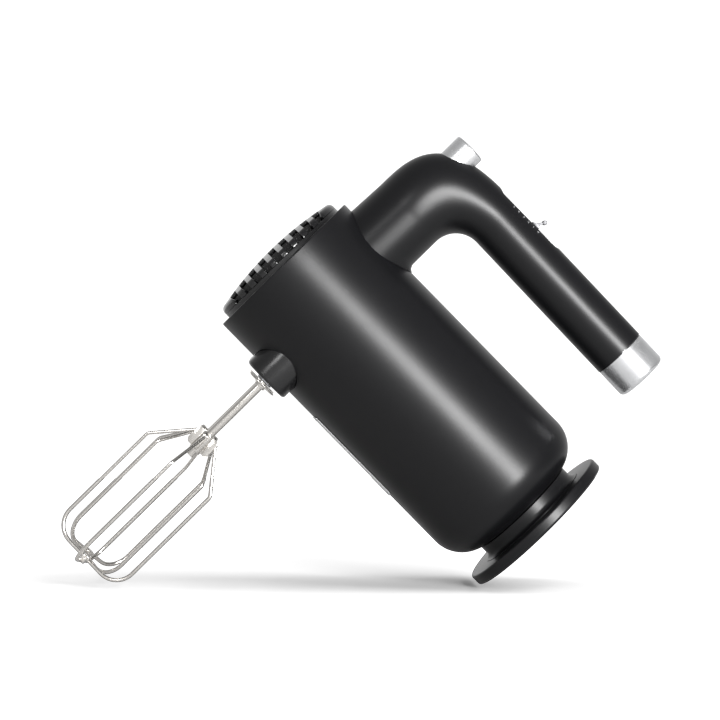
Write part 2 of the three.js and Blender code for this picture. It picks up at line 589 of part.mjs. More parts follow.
// The single-start thread as a column whose radius follows the rack profile up a helix.
function wormThread() {
  const around = 12;
  const turns = Math.ceil((2 * worm.halfLength) / lead360) + 3;
  const flank = (worm.foot - worm.crest) / 2;
  const steps = [[-worm.foot / 2, worm.root], [-worm.foot / 2 + flank, worm.tip],
    [worm.foot / 2 - flank, worm.tip], [worm.foot / 2, worm.root]];
  const rows = turns * steps.length + 1;
  const start = beaterZ - Math.ceil(turns / 2) * lead360 - lead360 / 4;
  const positions = [];
  for (let i = 0; i < rows; i++) {
    const [offset, radius] = steps[i % steps.length];
    const z = start + Math.floor(i / steps.length) * lead360 + offset;
    for (let j = 0; j < around; j++) {
      const a = (2 * Math.PI * j) / around;
      positions.push(radius * Math.cos(a), radius * Math.sin(a), z + (lead360 * j) / around);
    }
  }
  // The column closes on itself one turn, so one full profile, higher.
  const at = (row, j) => (j < around ? row * around + j : (row + steps.length) * around);
  const index = [];
  const lastRow = rows - 1 - steps.length;
  for (let i = 0; i < lastRow; i++)
    for (let j = 0; j < around; j++)
      index.push(at(i, j), at(i, j + 1), at(i + 1, j + 1), at(i, j), at(i + 1, j + 1), at(i + 1, j));
  const capEnd = (row, flip) => {
    const loop = [];
    for (let j = 0; j <= around; j++) loop.push(at(row, j));
    for (let k = steps.length - 1; k > 0; k--) loop.push((row + k) * around);
    const middle = positions.push(0, 0, positions[loop[0] * 3 + 2] + lead360 / 2) / 3 - 1;
    loop.forEach((v, k) => {
      const pair = [v, loop[(k + 1) % loop.length]];
      index.push(middle, ...(flip ? pair.reverse() : pair));
    });
  };
  capEnd(0, true);
  capEnd(lastRow, false);
  const geometry = new THREE.BufferGeometry();
  geometry.setAttribute("position", new THREE.Float32BufferAttribute(positions, 3));
  const column = solid(geometry.setIndex(index));
  return column.intersect(box(-far, far, -far, far, beaterZ - worm.halfLength, beaterZ + worm.halfLength));
}

function makeRotor() {
  const bore = () => alongZ(circle(shaft.radius + gap), 0, far);
  const shaftTop = frontWallZ + gearbox.wall + 2;
  const rod = alongZ(circle(shaft.radius), shaft.rear, shaftTop);
  add("motor_shaft", rod.add(wormThread()), steel);

  const a = armature;
  const slotAngles = Array.from({ length: a.slots }, (_, i) => (360 / a.slots) * i);
  const slots = slotAngles.flatMap((angle) => [
    box(a.slotRoot, a.slotTop, -a.slot / 2, a.slot / 2, 0, far).rotate([0, 0, angle]),
    box(a.slotTop - 1, far, -a.mouth / 2, a.mouth / 2, 0, far).rotate([0, 0, angle]),
  ]);
  const core = alongZ(circle(a.radius), stator.rear, statorTop, fine);
  add("armature_core", cut(core, [...slots, bore()]), steel);
  const end = (from, to) => alongZ(circle(a.slotTop - gap), from, to);
  const low = stator.rear - gap;
  const high = statorTop + gap;
  const bars = slotAngles.map((angle) =>
    box(a.slotRoot + gap, a.slotTop - 2 * gap, -a.slot / 2 + gap, a.slot / 2 - gap, low - a.overhang / 2,
      high + a.overhang / 2).rotate([0, 0, angle]));
  add("armature_winding", cut(union([end(low - a.overhang, low), end(high, high + a.overhang), ...bars]),
    [bore()]), copper);

  const c = commutator;
  add("commutator", alongZ(circle(c.radius), c.rear, c.rear + c.length, fine)
    .subtract(bore()), copper);

  const blades = Array.from({ length: fan.blades }, (_, i) =>
    box(fan.hub - 1, fan.radius - 0.5, -fan.blade / 2, fan.blade / 2, fan.z + fan.disc / 2, fan.z + fan.height)
      .rotate([0, 0, (360 / fan.blades) * i]));
  const disc = alongZ(circle(fan.radius), fan.z, fan.z + fan.disc, fine);
  const hub = alongZ(circle(fan.hub), fan.z, fan.z + fan.height);
  add("cooling_fan", union([disc, hub, ...blades]).subtract(bore()), nylon);
}

// ---------- gearbox ----------

const beaterSides = [["left", -1], ["right", 1]];

function makeGearbox() {
  const g = gearbox;
  const socketHoles = () => beaterSides.map(([, side]) =>
    alongX(circle(socket.radius + gap, (side * beater.spacing) / 2, beaterZ), -far, far));
  const [low, high] = [rearWallZ, frontWallZ + g.wall];
  const base = alongX(rectangle(-g.baseHalfWidth, low, g.baseHalfWidth, high), -g.base, -g.base + g.plate);
  const walls = [low, frontWallZ].map((z) =>
    box(-g.base + 1, g.top, -g.halfWidth, g.halfWidth, z, z + g.wall));
  const shaftHole = alongZ(circle(bush.radius + gap), low - 1, high + 1);
  const motorHoles = screwedPosts.map(([x, y]) => alongZ(circle(bracket.bore, x, y), low - 1, low + g.wall + 1));
  const screwRows = [low + g.wall / 2, high - g.wall / 2];
  const places = screwRows.flatMap((z) => [-1, 1].map((side) => [side * cover.screwY, z]));
  const screwHoles = () => places.map(([y, z]) =>
    alongX(circle(cover.screw + gap, y, z), g.top - cover.screwLength, far));
  add("gearbox_frame",
    cut(union([base, ...walls]), [...socketHoles(), shaftHole, ...motorHoles, ...screwHoles()]), nylon);
  const lid = alongX(rectangle(-g.halfWidth, low, g.halfWidth, high), g.top, g.top + cover.thickness);
  add("gearbox_cover", cut(lid, [...socketHoles(), ...screwHoles()]), nylon);
  places.forEach(([y, z], i) => {
    const seat = g.top + cover.thickness + gap;
    const head = alongX(circle(cover.head, y, z), seat, seat + cover.headHeight);
    const shank = alongX(circle(cover.screw, y, z), seat - cover.thickness - 7, seat + 0.5);
    add(`gearbox_screw_${i + 1}`, head.add(shank), steel);
  });
}

// A helical wheel about X. Its teeth lean with the worm's thread, and phase turns the wheel
// so that a gap (0) or a tooth (0.5) faces the worm.
function wheel(side, phase) {
  const half = (width, radius) => width / 2 / radius;
  const outline = [];
  const pitch = (2 * Math.PI) / gear.teeth;
  const facing = side > 0 ? Math.PI : 0;
  for (let i = 0; i < gear.teeth; i++) {
    const middle = facing + pitch * (i + 0.5 + phase);
    const steps = [[-1, tooth.root, gear.root], [-1, tooth.tip, gear.tip],
      [1, tooth.tip, gear.tip], [1, tooth.root, gear.root]];
    for (const [way, width, radius] of steps) {
      const a = middle + way * half(width, radius);
      outline.push([radius * Math.cos(a), radius * Math.sin(a)]);
    }
  }
  const options = { depth: 2 * gear.halfWidth, bevelEnabled: false, steps: 2 };
  const geometry = new THREE.ExtrudeGeometry(polygon(outline), options).translate(0, 0, -gear.halfWidth);
  const twist = lead360 / (2 * Math.PI * worm.pitchRadius) / gearRadius;
  const position = geometry.attributes.position;
  const point = new THREE.Vector3();
  const axis = new THREE.Vector3(0, 0, 1);
  for (let i = 0; i < position.count; i++) {
    point.fromBufferAttribute(position, i);
    point.applyAxisAngle(axis, twist * point.z);
    position.setXYZ(i, point.x, point.y, point.z);
  }
  return solid(geometry.applyMatrix4(toX).translate(0, (side * beater.spacing) / 2, beaterZ));
}

function makeDrives() {
  for (const [name, side] of beaterSides) {
    const y = (side * beater.spacing) / 2;
    const hub = alongX(circle(gear.hub, y, beaterZ), -gear.hubHalf, gear.hubHalf);
    const bore = alongX(circle(socket.radius + gap, y, beaterZ), -far, far);
    const phase = side > 0 ? 0 : 0.5;
    add(`worm_gear_${name}`, wheel(side, phase).add(hub).subtract(bore), nylon);
    const s = socket;
    add(`drive_socket_${name}`, turnedX([[s.bore, -s.nose], [s.radius, -s.nose], [s.radius, -s.collarX],
      [s.collar, -s.collarX], [s.collar, -s.collarX + 2], [s.radius, -s.collarX + 2], [s.radius, s.tail],
      [s.bore, s.tail], [s.bore, -s.nose]], y, beaterZ, 16), steel);
  }
}

// ---------- beaters ----------

// One wire loop: from the hub out to the shoulder, down the side, round the tip and back up.
function loopPoints(lift) {
  const b = beater;
  const start = b.sleeve + gap;
  const side = [[start, -b.hubTop - b.wire], [start + 1.6, -b.hubTop - b.wire - 0.4],
    [b.cage - 1.2, -b.shoulder + 1.4], [b.cage - 0.3, -b.shoulder - 0.4], [b.cage, -b.shoulder - 2.4]];
  const bend = arc(b.cage - b.corner, -b.tip + b.corner + lift, b.corner, 0, -90, 5);
  const half = [...side, ...bend];
  return [...half, ...half.map(([r, x]) => [-r, x]).reverse()];
}

function makeBeaters() {
  const b = beater;
  for (const [name, side] of beaterSides) {
    const y = (side * b.spacing) / 2;
    const angle = THREE.MathUtils.degToRad(beaterAngles[name]);
    const tail = -b.hubTop - b.hubLength - b.tail;
    add(`beater_shaft_${name}`, turnedX([[0, tail], [b.shaft, tail], [b.shaft, -b.collarX - b.collarThickness],
      [b.collar - 1.5, -b.collarX - b.collarThickness], [b.collar, -b.collarX - b.collarThickness + 0.4],
      [b.collar, -b.collarX], [b.shaft, -b.collarX], [b.shaft, b.top - 1], [b.shaft - 0.8, b.top],
      [0, b.top]], y, beaterZ, 16), chrome);

    const place = (across, x, turn) => new THREE.Vector3(x, y + across * Math.cos(turn),
      beaterZ + across * Math.sin(turn));
    const loop = (turn, lift, radius) => {
      const normal = new THREE.Vector3(0, -Math.sin(turn), Math.cos(turn));
      return wireThrough(loopPoints(lift).map(([r, x]) => place(r, x, turn)), normal, radius);
    };
    const planes = [["outer", angle, 0], ["inner", angle + Math.PI / 2, 2 * b.wire + 2 * gap]];
    const hubEnd = -b.hubTop - b.hubLength;
    const sleeve = turnedX([[b.shaft + gap, hubEnd], [b.sleeve, hubEnd], [b.sleeve, -b.hubTop],
      [b.shaft + gap, -b.hubTop], [b.shaft + gap, hubEnd]], y, beaterZ, 12);
    const ears = planes.map(([, turn]) =>
      box(hubEnd + 1, -b.hubTop, -b.ear, b.ear, -b.earHalf, b.earHalf)
        .rotate([THREE.MathUtils.radToDeg(turn), 0, 0]).translate([0, y, beaterZ]));
    const bore = alongX(circle(b.shaft + gap, y, beaterZ), -far, far);
    const grooves = planes.map(([, turn, lift]) => loop(turn, lift, b.wire + gap));
    add(`beater_hub_${name}`, cut(union([sleeve, ...ears]), [bore, ...grooves]), chrome);
    for (const [kind, turn, lift] of planes)
      add(`beater_loop_${kind}_${name}`, loop(turn, lift, b.wire), chrome);
  }
}

// ---------- internal leads ----------

function leadZ() {
  return ejectZ - 12.6;
}

// The sleeved leads run from the cord inlet up the barrel and through the handle to the switch.
function makeLeads() {
  const clearOfMotor = 37.5;
  const z = leadZ();
  const route = [[0, neck.radius - 5, grommetZ], [0, 14, grommetZ], [1, 5, grommetZ + 2.5], [5, 0, barrelZ + 8],
    [20, 0, barrelZ + 16], [34, 0, barrelZ + 30], [clearOfMotor, 0, barrelZ + 50], [clearOfMotor, 0, z - 30],
    [clearOfMotor + 1.5, 0, z - 9], [barrel.radius, 0, z], [handle.innerRib + 1, 0, z],
    [handle.innerRib + 16, 0, z - 1.5], [gripX - 5, 0, z - 9], [gripX - 2, 0, panelTopZ - panel.ramp + 2 * gap]];
  const curve = new THREE.CatmullRomCurve3(route.map((p) => new THREE.Vector3(...p)), false, "centripetal");
  const section = new THREE.Shape(circle(lead).getPoints(2));
  const geometry = new THREE.ExtrudeGeometry(section, { steps: 44, extrudePath: curve, bevelEnabled: false });
  add("internal_leads", solid(geometry), glossBlack);
}

makeHeel();
makeNeck();
makeBarrel();
makeLabel();
makeGrille();
makeBoss();
makeHandle();
makeSpeedControl();
makeGripCap();
makeEjector();
makeStator();
makeBrackets();
makeBush("rear_bearing", bracket.rearZ + bracket.plate / 2);
makeBush("gearbox_bearing", rearWallZ + gearbox.wall / 2);
makeBush("front_bearing", frontWallZ + gearbox.wall / 2);
makeBrushes();
makeRotor();
makeGearbox();
makeDrives();
makeBeaters();
makeLeads();

export default model;
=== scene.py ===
# A hand mixer that stands on its round heel: fine surfaces, finishes, light and camera around the
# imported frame. +Z runs up the barrel, the handle is on +X and the beaters point to -X.

import math
from types import SimpleNamespace as Sizes

import bmesh
import bpy
from mathutils import Matrix, Vector


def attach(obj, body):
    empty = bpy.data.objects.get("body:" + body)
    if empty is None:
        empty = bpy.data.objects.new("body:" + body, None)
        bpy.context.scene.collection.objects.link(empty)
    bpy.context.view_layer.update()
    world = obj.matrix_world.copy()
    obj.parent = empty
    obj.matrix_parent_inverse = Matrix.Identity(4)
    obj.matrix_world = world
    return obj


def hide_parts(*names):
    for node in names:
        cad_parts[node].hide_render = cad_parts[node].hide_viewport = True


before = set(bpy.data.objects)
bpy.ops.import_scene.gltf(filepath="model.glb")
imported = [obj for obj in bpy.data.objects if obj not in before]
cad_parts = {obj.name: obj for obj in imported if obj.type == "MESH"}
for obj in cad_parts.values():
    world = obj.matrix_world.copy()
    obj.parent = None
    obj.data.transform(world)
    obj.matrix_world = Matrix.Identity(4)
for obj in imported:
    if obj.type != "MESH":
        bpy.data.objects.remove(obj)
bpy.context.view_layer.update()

# ---------- sizes, in millimetres ----------

MM = 0.001

gap = 0.3
seam = 0.15
far = 400
heel = Sizes(radius=45.4, thickness=6.3, edge=1.3)
neck = Sizes(radius=30.5, height=7.7, wall=3, roof=1.6, bore=11, cove=3.2, foot=0.25)
barrel = Sizes(radius=46, length=183.6, wall=2.4, heel_round=19.4, rim_edge=0.8, lip=2.6)
grille = Sizes(
    radius=41, wall=2.6, skirt=9, flange=1.8, edge_round=3.4, crown_radius=190, crown_height=10.3,
    web=3, slots=9, pitch=7.65, slot=4, sill=2.2, edge=0.35, spine_half=1.3, spine_drop=2,
)
handle = Sizes(
    setback=26.8, root_half_width=24.4, root_half_height=22.6, neck_half_width=22, wall=2.2,
    bend_radius=15.3, bend_x=67.2, elbow_rise=58, elbow_squareness=3.05,
    grip_radius=15, grip_end=160.9, grip_lean=1.65, fillet=4, start=20, passage=16,
)
cap = Sizes(length=18.3, radius=14.8, edge=2.7, dome=0.5, plug=7)
button = Sizes(radius=9, top=116.2, edge=1.2, dome=0.5, bottom=92, flange=10.6, flange_thickness=2)
ejector = Sizes(setback=25.8)
panel = Sizes(start=51.8, length=46.4, ramp=4, depth=1.6, thickness=1.2, half_width=6.2)
slider = Sizes(stem=4, stem_half=1.2, travel=18, height=6.4, paddle_half=3.4, base=12, knob=1.3, lean=2.4)
boss = Sizes(half_length=31.5, half_width=13.5, face=50.3, inner=30, wall=2.4, end_wall=3, edge=1.6)
beater = Sizes(
    setback=37.4, spacing=32, shaft=2.35, top=4.2, collar=8.85, collar_x=52.6, collar_thickness=1,
    hub_top=91.8, hub_length=11.9, sleeve=3.6, ear=7.4, ear_half=1.8, tail=3.5,
    wire=0.95, cage=24.2, shoulder=115, shoulder_bend=4, corner=12, tip=187.5, lift=2.5,
)
beater_turn = {"left": -9.9, "right": 45}
socket = Sizes(radius=4.7, bore=2.75, nose=51.5, tail=12.5, collar=6.4, collar_x=22.7)
heel_screw = Sizes(circle=18, count=3, first=30, radius=1.6, head=3, recess=0.4, head_height=1.9, length=21.7)
label = Sizes(z=69.1, height=58.3, half_width=10.4, thickness=0.3, corner=2)
grommet = Sizes(radius=2.9, bore=2.2, length=6.5, proud=0.7)

neck_z = heel.thickness
barrel_z = neck_z + neck.height
rim_z = barrel_z + barrel.length
wall_inside = barrel.radius - barrel.wall
beater_z = rim_z - beater.setback
root_z = rim_z - handle.setback
eject_z = rim_z - ejector.setback
bend_z = root_z - handle.root_half_height - handle.bend_radius + 0.5
grip_x = handle.bend_x + handle.bend_radius + handle.grip_radius
grip_end_z = rim_z - handle.grip_end
panel_x = grip_x + handle.grip_radius - panel.depth
panel_top_z = rim_z - panel.start
panel_end_z = panel_top_z - panel.length
slider_z = panel_end_z + panel.ramp + 14
sides = {"left": -1, "right": 1}


# ---------- nodes ----------

def socket_of(sockets, key):
    """A node's socket by place, or by name among those in use."""
    if isinstance(key, int):
        return sockets[key]
    return next(s for s in sockets if s.enabled and s.name == key)


class Field:
    """One output socket. Sums on it add Math nodes to its tree."""

    def __init__(self, maker, output):
        self.maker = maker
        self.output = output

    def math(self, operation, *values):
        return self.maker.math(operation, *values)

    def __add__(self, other):
        return self.math("ADD", self, other)

    def __radd__(self, other):
        return self.math("ADD", other, self)

    def __sub__(self, other):
        return self.math("SUBTRACT", self, other)

    def __rsub__(self, other):
        return self.math("SUBTRACT", other, self)

    def __mul__(self, other):
        return self.math("MULTIPLY", self, other)

    def __rmul__(self, other):
        return self.math("MULTIPLY", other, self)

    def __truediv__(self, other):
        return self.math("DIVIDE", self, other)

    def __rtruediv__(self, other):
        return self.math("DIVIDE", other, self)

    def __lt__(self, other):
        return self.math("LESS_THAN", self, other)

    def __gt__(self, other):
        return self.math("GREATER_THAN", self, other)

    def __abs__(self):
        return self.math("ABSOLUTE", self)


class Maker:
    """Adds the nodes of one tree."""

    def __init__(self, tree):
        self.tree = tree

    def node(self, kind, settings=None, values=None, output=0):
        """Any node: its settings first, then the values or links of its sockets."""
        made = self.tree.nodes.new(kind)
        for name, value in (settings or {}).items():
            setattr(made, name, value)
        for key, value in (values or {}).items():
            self.feed(socket_of(made.inputs, key), value)
        return Field(self, socket_of(made.outputs, output)) if made.outputs else None

    def feed(self, target, value):
        if isinstance(value, Field):
            self.tree.links.new(value.output, target)
        else:
            target.default_value = value

    def math(self, operation, *values):
        return self.node("ShaderNodeMath", {"operation": operation}, dict(enumerate(values)))

    def root(self, value):
        """The square root of a value, or 0 where the value is below 0."""
        return self.math("SQRT", self.math("MAXIMUM", value, 0))

    def larger(self, a, b):
        return self.math("MAXIMUM", a, b)

    def smaller(self, a, b):
        return self.math("MINIMUM", a, b)

    def split(self, vector):
        parts = self.node("ShaderNodeSeparateXYZ", None, {0: vector})
        return [Field(self, s) for s in parts.output.node.outputs]

    def point(self, x, y, z):
        return self.node("ShaderNodeCombineXYZ", None, {0: x, 1: y, 2: z})


# ---------- finishes ----------

class Finish(Maker):
    """A procedural material. Its patterns read Object coordinates, in metres."""

    def __init__(self, name, colour, **constants):
        material = bpy.data.materials.new(name)
        material.use_nodes = True
        super().__init__(material.node_tree)
        self.material = material
        self.shader = self.tree.nodes["Principled BSDF"]
        self.colour = (*colour, 1)
        self.shader.inputs["Base Color"].default_value = self.colour
        for key, value in constants.items():
            self.shader.inputs[key.replace("_", " ")].default_value = value

    def place(self, scale=(1, 1, 1)):
        """Object coordinates, stretched along the axes."""
        coordinates = self.node("ShaderNodeTexCoord", output="Object")
        return self.node("ShaderNodeMapping", None, {"Vector": coordinates, "Scale": scale})

    def noise(self, size, detail=2.0, stretch=(1, 1, 1), roughness=0.5):
        """Cloudy noise from 0 to 1 whose patches are about size millimetres across."""
        return self.node("ShaderNodeTexNoise", None, {
            "Vector": self.place(stretch), "Scale": 1 / (size * MM), "Detail": detail,
            "Roughness": roughness,
        })

    def cells(self, size):
        """Distance to the middle of pebbled cells, 0 to 1."""
        return self.node("ShaderNodeTexVoronoi", None, {
            "Vector": self.place(), "Scale": 1 / (size * MM),
        })

    def shades(self, mask, other):
        """The finish's colour, turning to the other colour where the mask is 1."""
        mixed = self.node("ShaderNodeMix", {"data_type": "RGBA"}, {
            "Factor": mask, "A": self.colour, "B": (*other, 1),
        }, "Result")
        self.feed(self.shader.inputs["Base Color"], mixed)

    def rough(self, value):
        self.feed(self.shader.inputs["Roughness"], value)

    def metal(self, value):
        self.feed(self.shader.inputs["Metallic"], value)

    def bump(self, height, depth, strength=1.0):
        """Relief of about depth millimetres."""
        normal = self.node("ShaderNodeBump", None, {
            "Strength": strength, "Distance": depth * MM, "Height": height,
        })
        self.feed(self.shader.inputs["Normal"], normal)


def soft_touch():
    """The matt black casing: a fine spark-eroded grain under a soft lacquer."""
    finish = Finish("soft_touch_black", (0.0030, 0.0030, 0.0034), Specular_IOR_Level=0.25)
    grain = finish.noise(0.55, 3, roughness=0.7)
    drift = finish.noise(28, 2)
    finish.shades(finish.noise(3.2, 3) * 0.55, (0.0042, 0.0042, 0.0048))
    finish.rough(0.27 + 0.05 * drift + 0.07 * grain)
    finish.bump(grain, 0.03, 0.6)
    return finish.material


def moulded_black():
    """The smoother black of the grille, the boss and the panel."""
    finish = Finish("moulded_black", (0.0028, 0.0028, 0.0031), Specular_IOR_Level=0.6)
    finish.shades(finish.noise(9, 3) * 0.4, (0.0042, 0.0042, 0.0046))
    finish.rough(0.19 + 0.07 * finish.noise(4, 4))
    finish.bump(finish.noise(0.8, 3), 0.006, 0.5)
    return finish.material


def satin_silver(name, stretch, colour, roughness=0.23):
    """Metallised plastic with a very fine turned brushing, along the axis it is stretched on."""
    finish = Finish(name, colour)
    brushing = finish.noise(1.4, 4, stretch, 0.65)
    finish.shades(brushing * 0.35, [0.88 * part for part in colour])
    finish.metal(0.92 - 0.06 * finish.noise(6, 2))
    finish.rough(roughness + 0.06 * brushing)
    finish.bump(brushing, 0.004, 0.5)
    return finish.material


def bright_steel():
    """Polished stainless wire and stampings with faint drawing marks and smudges."""
    finish = Finish("polished_steel", (0.76, 0.735, 0.70), Metallic=1.0)
    marks = finish.noise(0.9, 3, (0.08, 1, 1))
    smudges = finish.noise(11, 3)
    finish.shades(smudges * 0.4, (0.68, 0.65, 0.61))
    finish.rough(0.14 + 0.05 * smudges + 0.04 * marks)
    finish.bump(marks, 0.003, 0.4)
    return finish.material


def plain_metal(name, colour, tint, roughness, patch=2.0):
    finish = Finish(name, colour, Metallic=1.0)
    cloud = finish.noise(patch, 4)
    finish.shades(cloud * 0.6, tint)
    finish.rough(roughness - 0.08 + 0.16 * cloud)
    finish.bump(finish.noise(patch / 5, 3), 0.01, 0.4)
    return finish.material


def laminated_steel():
    """A stack of stampings: fine dark lines at each sheet's edge."""
    finish = Finish("laminated_steel", (0.36, 0.365, 0.38), Metallic=1.0)
    _, _, z = finish.split(finish.place())
    sheet = 0.65 * MM
    layer = abs(finish.math("FRACT", z / sheet) - 0.5) * 2
    groove = layer > 0.72
    finish.shades(groove * 0.8, (0.08, 0.075, 0.07))
    finish.rough(0.38 + 0.2 * groove + 0.1 * finish.noise(1.5, 3))
    finish.bump(1 - layer, 0.05, 0.6)
    return finish.material


def wound_copper():
    """Enamelled wire, laid in tight turns round the coil."""
    finish = Finish("wound_copper", (0.48, 0.17, 0.06), Metallic=0.9)
    x, y, _ = finish.split(finish.place())
    wire = 0.5 * MM
    turn = abs(finish.math("SINE", (x + y) * (math.pi / wire)))
    finish.shades((1 - turn) * 0.8, (0.16, 0.045, 0.015))
    finish.rough(0.26 + 0.16 * finish.noise(1.2, 3))
    finish.bump(turn, 0.12, 0.7)
    return finish.material


def commutator_copper():
    """Copper bars with mica between them."""
    finish = Finish("commutator_copper", (0.62, 0.27, 0.13), Metallic=1.0)
    x, y, _ = finish.split(finish.place())
    bars = 16
    angle = finish.math("ARCTAN2", y, x) * (bars / math.tau)
    joint = abs(finish.math("FRACT", angle) - 0.5) < 0.06
    finish.shades(joint, (0.03, 0.025, 0.02))
    finish.rough(0.28 + 0.3 * joint + 0.12 * finish.noise(0.9, 3))
    finish.bump(1 - joint, 0.15, 0.8)
    return finish.material


def filled_nylon(name, colour, tint):
    """Moulded nylon with a slight mottle from its filler."""
    finish = Finish(name, colour)
    mottle = finish.noise(1.8, 4)
    finish.shades(mottle * 0.7, tint)
    finish.rough(0.42 + 0.16 * mottle)
    finish.bump(finish.cells(0.7), 0.01, 0.5)
    return finish.material


def carbon_block():
    finish = Finish("brush_carbon", (0.028, 0.027, 0.027))
    speck = finish.noise(0.35, 4)
    finish.shades(speck, (0.07, 0.065, 0.06))
    finish.rough(0.62 + 0.2 * speck)
    finish.bump(speck, 0.03, 0.5)
    return finish.material


def label_foil():
    """Silver foil with a fine horizontal brushing and a thin printed border."""
    finish = Finish("label_foil", (0.74, 0.745, 0.75), Metallic=0.75)
    _, y, z = finish.split(finish.place())
    brushing = finish.noise(0.9, 3, (1, 1, 12))
    inset = 1.6
    across = (label.half_width - inset) * MM
    middle = (label.z + label.height / 2) * MM
    upward = (label.height / 2 - inset) * MM
    line = 0.25 * MM
    off_y = abs(y) - across
    off_z = abs(z - middle) - upward
    inside = finish.larger(off_y, off_z)
    border = abs(inside) < line
    finish.shades(border * 0.9, (0.05, 0.05, 0.055))
    finish.rough(0.3 + 0.12 * brushing + 0.2 * border)
    finish.bump(brushing, 0.004, 0.5)
    return finish.material


def lead_sleeve():
    """The soft black sleeve and grommet rubber."""
    finish = Finish("sleeve_rubber", (0.012, 0.012, 0.0125), Specular_IOR_Level=0.35)
    dust = finish.noise(1.1, 4)
    finish.shades(dust * 0.6, (0.024, 0.024, 0.025))
    finish.rough(0.55 + 0.2 * dust)
    finish.bump(finish.noise(0.5, 2), 0.02, 0.5)
    return finish.material


def printed_white():
    finish = Finish("printed_white", (0.22, 0.22, 0.225))
    wear = finish.noise(0.4, 3)
    finish.shades(wear * 0.4, (0.14, 0.14, 0.145))
    finish.rough(0.45 + 0.15 * wear)
    finish.bump(wear, 0.003, 0.3)
    return finish.material


SOFT = soft_touch()
MOULDED = moulded_black()
SILVER_CAP = satin_silver("satin_silver_turned", (0.06, 0.06, 3), (0.62, 0.625, 0.635))
SILVER_KEY = satin_silver("satin_silver_keys", (3, 0.06, 0.06), (0.64, 0.645, 0.655))
# A dark copy of the satin silver for the speed lever: painted shade, standing for the dark reflection its
# bright metal shows.
SILVER_LEVER_PAINTED_DARK = satin_silver("satin_silver_lever_painted_shade", (3, 0.06, 0.06), (0.13, 0.13, 0.135), 0.45)
STEEL = bright_steel()
SCREW = plain_metal("zinc_screw", (0.46, 0.47, 0.49), (0.34, 0.34, 0.36), 0.32)
MACHINED = plain_metal("machined_steel", (0.52, 0.53, 0.55), (0.40, 0.41, 0.43), 0.3)
BRONZE = plain_metal("oiled_bronze", (0.42, 0.26, 0.12), (0.28, 0.17, 0.08), 0.42)
LAMINATED = laminated_steel()
COPPER = wound_copper()
COMMUTATOR = commutator_copper()
NYLON = filled_nylon("natural_nylon", (0.66, 0.63, 0.55), (0.58, 0.55, 0.47))
# Nylon painted near black: painted shade, so that the inside seen through the grille's slots reads dark.
NYLON_PAINTED_DARK = filled_nylon("nylon_painted_dark_for_shade", (0.017, 0.017, 0.018), (0.03, 0.03, 0.031))
CARBON = carbon_block()
FOIL = label_foil()
SLEEVE = lead_sleeve()
PRINT = printed_white()


# ---------- outlines and meshes ----------

def rounded(corners, closed=True, steps=6):
    """The points of an outline of (x, y, radius) corners, each rounded by an arc."""
    points = []
    for i, (x, y, radius) in enumerate(corners):
        here = Vector((x, y))
        if not radius or (not closed and i in (0, len(corners) - 1)):
            points.append((x, y))
            continue
        back = (Vector(corners[i - 1][:2]) - here).normalized()
        on = (Vector(corners[(i + 1) % len(corners)][:2]) - here).normalized()
        half = back.angle(on) / 2
        centre = here + (back + on).normalized() * radius / math.sin(half)
        start, end = (here + way * radius / math.tan(half) - centre for way in (back, on))
        first = math.atan2(start.y, start.x)
        turn = (math.atan2(end.y, end.x) - first + math.pi) % math.tau - math.pi
        for k in range(steps + 1):
            a = first + turn * k / steps
            points.append((centre.x + radius * math.cos(a), centre.y + radius * math.sin(a)))
    return points


def stepped(points, longest):
    """The same outline with points added so that no stretch is longer than the longest."""
    out = []
    for i, a in enumerate(points):
        b = points[(i + 1) % len(points)]
        count = max(1, math.ceil(math.dist(a, b) / longest))
        out += [(a[0] + (b[0] - a[0]) * k / count, a[1] + (b[1] - a[1]) * k / count) for k in range(count)]
    return out


AXES = {
    "x": Matrix(((0, 0, 1, 0), (1, 0, 0, 0), (0, 1, 0, 0), (0, 0, 0, 1))),
    "y": Matrix(((0, 1, 0, 0), (0, 0, 1, 0), (1, 0, 0, 0), (0, 0, 0, 1))),
    "z": Matrix.Identity(4),
}


def turned(profile, axis="z", at=(0, 0, 0), segments=96, sweep=None):
    """A solid turned from (radius, height) points about an axis. A sweep in degrees stops it short."""
    bm = bmesh.new()
    first, last = (math.radians(a) for a in sweep) if sweep else (0.0, math.tau)
    columns = segments + 1 if sweep else segments
    rows = []
    for r, h in profile:
        if r < 1e-6:
            rows.append([bm.verts.new((0, 0, h))] * columns)
            continue
        angles = (first + (last - first) * j / segments for j in range(columns))
        rows.append([bm.verts.new((r * math.cos(a), r * math.sin(a), h)) for a in angles])
    for i, row in enumerate(rows):
        following = rows[(i + 1) % len(rows)]
        for j in range(segments):
            k = (j + 1) % columns
            corners = list(dict.fromkeys((row[j], row[k], following[k], following[j])))
            if len(corners) > 2:
                bm.faces.new(corners)
    if sweep:
        for j in (0, -1):
            bm.faces.new(list(dict.fromkeys(row[j] for row in rows)))
    bmesh.ops.recalc_face_normals(bm, faces=bm.faces)
    bmesh.ops.transform(bm, matrix=Matrix.Translation(at) @ AXES[axis], verts=bm.verts)
    return bm


def lofted(rings):
    """A closed skin over a row of rings with equal point counts."""
    bm = bmesh.new()
    rows = [[bm.verts.new(p) for p in ring] for ring in rings]
    for row, following in zip(rows, rows[1:]):
        for j in range(len(row)):
            k = (j + 1) % len(row)
            bm.faces.new((row[j], row[k], following[k], following[j]))
    bm.faces.new(rows[0])
    bm.faces.new(rows[-1])
    bmesh.ops.recalc_face_normals(bm, faces=bm.faces)
    return bm


def prism(outline, axis, low, high):
    """A flat outline drawn out along an axis. The outline's two coordinates are the next two axes."""
    rings = [[AXES[axis] @ Vector((x, y, h)) for x, y in outline] for h in (low, high)]
    return lofted(rings)


def block(x0, x1, y0, y1, z0, z1):
    return prism([(x0, y0), (x1, y0), (x1, y1), (x0, y1)], "z", z0, z1)


def circle(radius, x=0.0, y=0.0, steps=48):
    angles = (math.tau * k / steps for k in range(steps))
    return [(x + radius * math.cos(a), y + radius * math.sin(a)) for a in angles]


